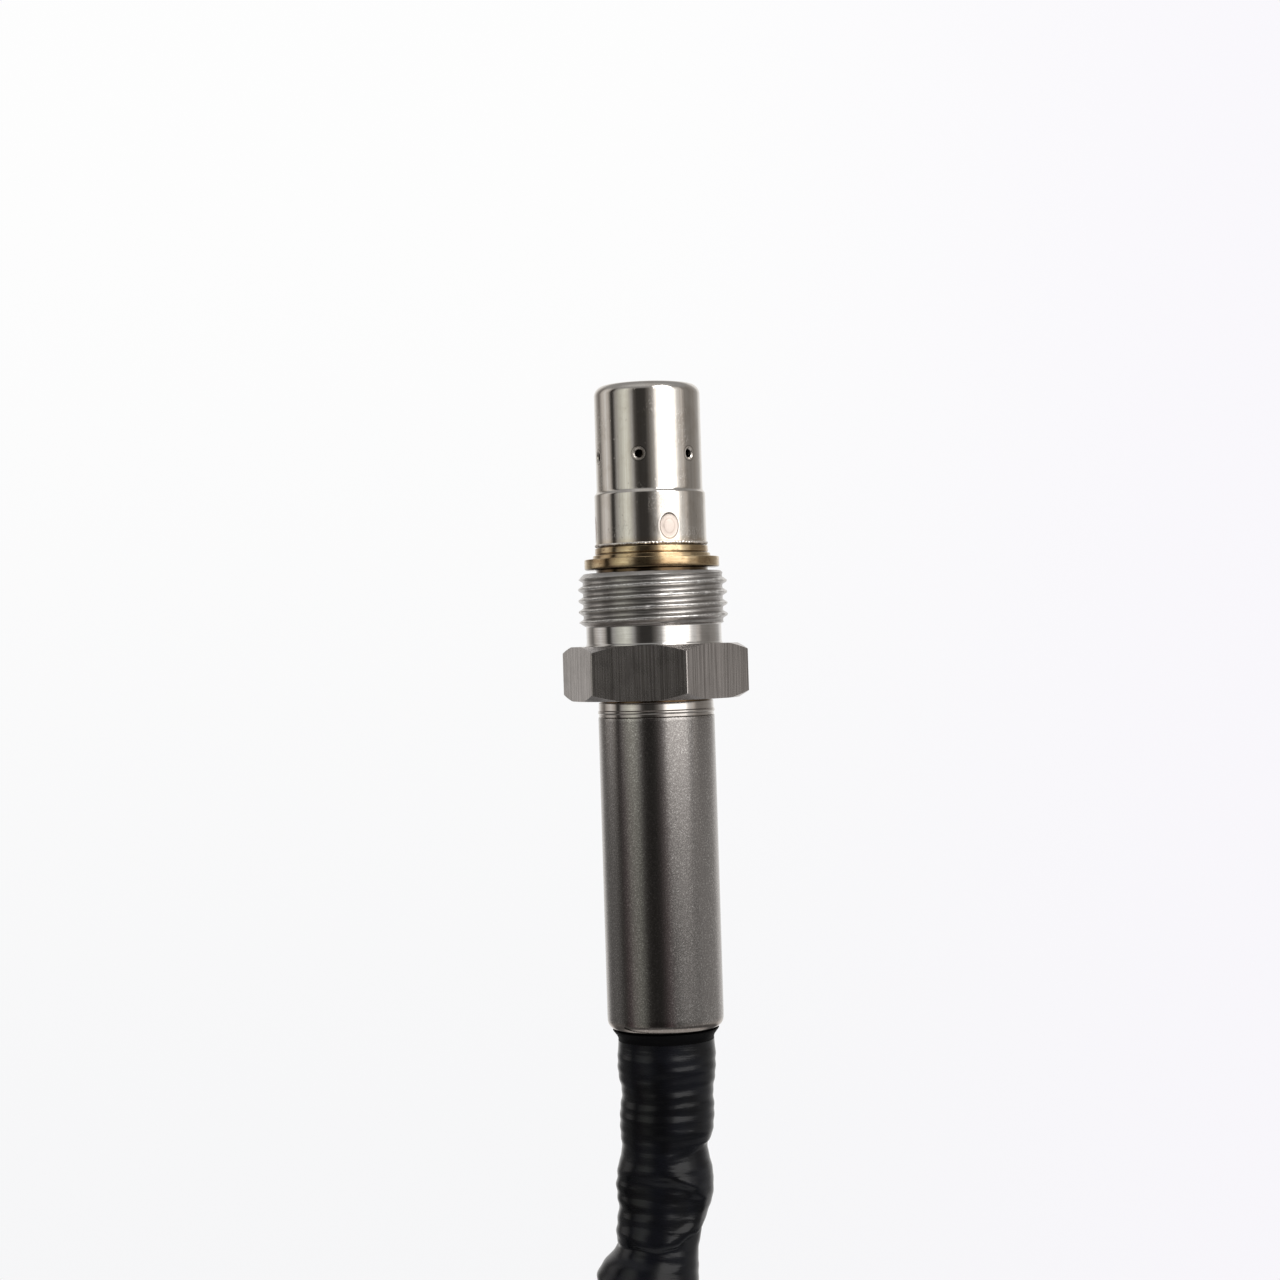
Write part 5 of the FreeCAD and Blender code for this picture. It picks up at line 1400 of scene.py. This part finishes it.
    def make_hexagon(self) -> Blank:
        """Make the hexagon, with its corners coned off at both ends.

        Returns:
            The hexagon.
        """
        corner = self.across_flats / math.sqrt(3)
        prism = Blank()
        height = self.hex_top - self.hex_foot
        bmesh.ops.create_cone(prism.mesh, cap_ends=True, segments=6, radius1=corner, radius2=corner,
                              depth=height + 2.0,
                              matrix=Matrix.Translation((0, 0, (self.hex_top + self.hex_foot) / 2)))
        prism.mesh.verts.ensure_lookup_table()
        first = prism.mesh.verts[0].co
        turn = math.radians(self.corner_turn) - math.atan2(first.y, first.x)
        bmesh.ops.rotate(prism.mesh, verts=prism.mesh.verts[:], cent=(0, 0, 0),
                         matrix=Matrix.Rotation(turn, 3, "Z"))
        upright = [edge for edge in prism.mesh.edges if abs(edge.verts[0].co.z - edge.verts[1].co.z) > 1.0]
        bmesh.ops.bevel(prism.mesh, geom=upright, offset=self.corner_round, offset_type="OFFSET", segments=3,
                        profile=0.5, affect="EDGES", material=-1)
        low, high = self.hex_foot + self.foot_lift, self.hex_top
        face, cone = self.face_radius, self.cone_radius
        rising, falling = low + self.cone_height, high - self.cone_height
        envelope = Blank.turned([
            (self.bore, low), (face, low, 0.06), (cone, rising), (cone, falling), (face, high, 0.06),
            (9.2, high), (9.2, falling), (self.bore, falling),
        ], 240)
        prism.cut(envelope, "INTERSECT")
        return prism


@dataclass
class ControlUnit:
    """The control unit at the lead's end, with its gland, cover, screws and socket."""

    centre: tuple[float, float, float] = (-10.8, 13.0, -305.0)
    gland_top: float = -246.0
    first_rib: float = -247.8
    rib_count: int = 5
    rib_pitch: float = 3.0
    rib_depth: float = 0.75
    rib_radius: float = 7.2
    rib_growth: float = 0.14
    screw_across: float = 25.8
    screw_up: float = 30.8
    head_face: float = 26.2
    head_radius: float = 2.8

    def build(self) -> list[bpy.types.Object]:
        """Make the unit's pieces.

        Returns:
            The pieces that lie on the lead.
        """
        copied = [softened_copy(*row) for row in (
            ("unit_case", "moulded_case", CASE_PLASTIC, 0.5),
            ("unit_cover", "ribbed_cover", COVER_ALUMINIUM, 0.35),
            ("unit_gasket", "cover_gasket", GASKET_RUBBER, 0.15),
            ("connector_socket", "plug_socket", SOCKET_PLASTIC, 0.4),
            ("mounting_bushes", "ear_bushes", BUSH_STEEL, 0.2),
            ("cable_tie", "turn_tie", TIE_NYLON, 0.3),
        )]
        return [*copied, self.make_gland(), self.make_screws()]

    def make_gland(self) -> bpy.types.Object:
        """Make the gland as a ribbed strain relief."""
        outline = [(2.0, self.gland_top), (6.9, self.gland_top, 0.5)]
        for index in range(self.rib_count):
            high = self.first_rib - self.rib_pitch * index
            outer = self.rib_radius + self.rib_growth * index
            inner = outer - self.rib_depth
            outline += [(outer, high, 0.25), (outer, high - 1.7, 0.25), (inner, high - 1.9, 0.1),
                        (inner, high - 2.8, 0.1)]
        outline += [(7.95, -263.2, 0.3), (7.95, -268.0, 0.3), (6.65, -268.0), (6.65, -270.2), (7.6, -270.2),
                    (7.6, -271.7), (2.0, -271.7)]
        gland = Blank.turned(outline, 96)
        bmesh.ops.translate(gland.mesh, verts=gland.mesh.verts[:], vec=(self.centre[0], self.centre[1], 0))
        return gland.finish("ribbed_gland", GLAND_RUBBER, Body.SENSOR, "unit_gland")

    def make_screws(self) -> bpy.types.Object:
        """Make the four cover screws with domed heads and six-sided recesses."""
        screws = Blank()
        wide = self.head_radius
        turn = Matrix.Rotation(-math.pi / 2, 4, "X")
        for side in (-1, 1):
            for end in (-1, 1):
                screw = Blank.turned([
                    (0.0, 2.0), (wide - 0.6, 1.95, 0.4), (wide, 1.2, 0.4), (wide, 0.0), (1.2, 0.0),
                    (1.2, -12.0), (0.0, -12.4),
                ], 48)
                recess = Blank()
                bmesh.ops.create_cone(recess.mesh, cap_ends=True, segments=6, radius1=1.3, radius2=1.35,
                                      depth=2.4, matrix=Matrix.Translation((0, 0, 2.0)))
                screw.cut(recess)
                place = Vector((self.centre[0] + side * self.screw_across, self.head_face,
                                self.centre[2] + end * self.screw_up))
                bmesh.ops.transform(screw.mesh, matrix=Matrix.Translation(place) @ turn,
                                    verts=screw.mesh.verts[:])
                screws.take(screw.mesh)
        return screws.finish("recessed_screws", COVER_SCREW_STEEL, Body.SENSOR, "cover_screws")


KEPT_NODES = {
    "inner_protection_tube": INNER_STEEL,
    "sensing_element": ELEMENT_CERAMIC,
    "front_ceramic_holder": HOLDER_CERAMIC,
    "talc_seal": TALC,
    "rear_ceramic_bushing": HOLDER_CERAMIC,
    "pressure_ring": BUSH_STEEL,
    "contact_carrier": HOLDER_CERAMIC,
    "contact_springs": SPRING_STEEL,
    "carrier_clip": SPRING_STEEL,
    "wire_grommet": GROMMET_RUBBER,
    "lead_wires": WIRE_SHEATH,
    "circuit_board": BOARD_LAMINATE,
    "board_components": COMPONENT_EPOXY,
    "unit_wires": WIRE_SHEATH,
    "connector_pins": PIN_BRASS,
}


def dress_kept_nodes() -> None:
    """Give the solids that stay in the scene their finishes."""
    for name, finish in KEPT_NODES.items():
        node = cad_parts[name]
        while len(node.material_slots) < 1:
            node.data.materials.append(None)
        for slot in node.material_slots:
            slot.material = finish.material()
        LOG.info("dressed %s", name)


def main() -> None:
    """Build the studio, then the lead, the control unit, the probe and the hollow screw."""
    logging.basicConfig(level=logging.INFO, format="%(relativeCreated)d %(message)s")
    Studio().build()
    lead = Lead()
    cover = lead.build_cover()
    unit_pieces = ControlUnit().build()
    Probe().build()
    HollowScrew().build()
    dress_kept_nodes()


if __name__ == "__main__":
    main()
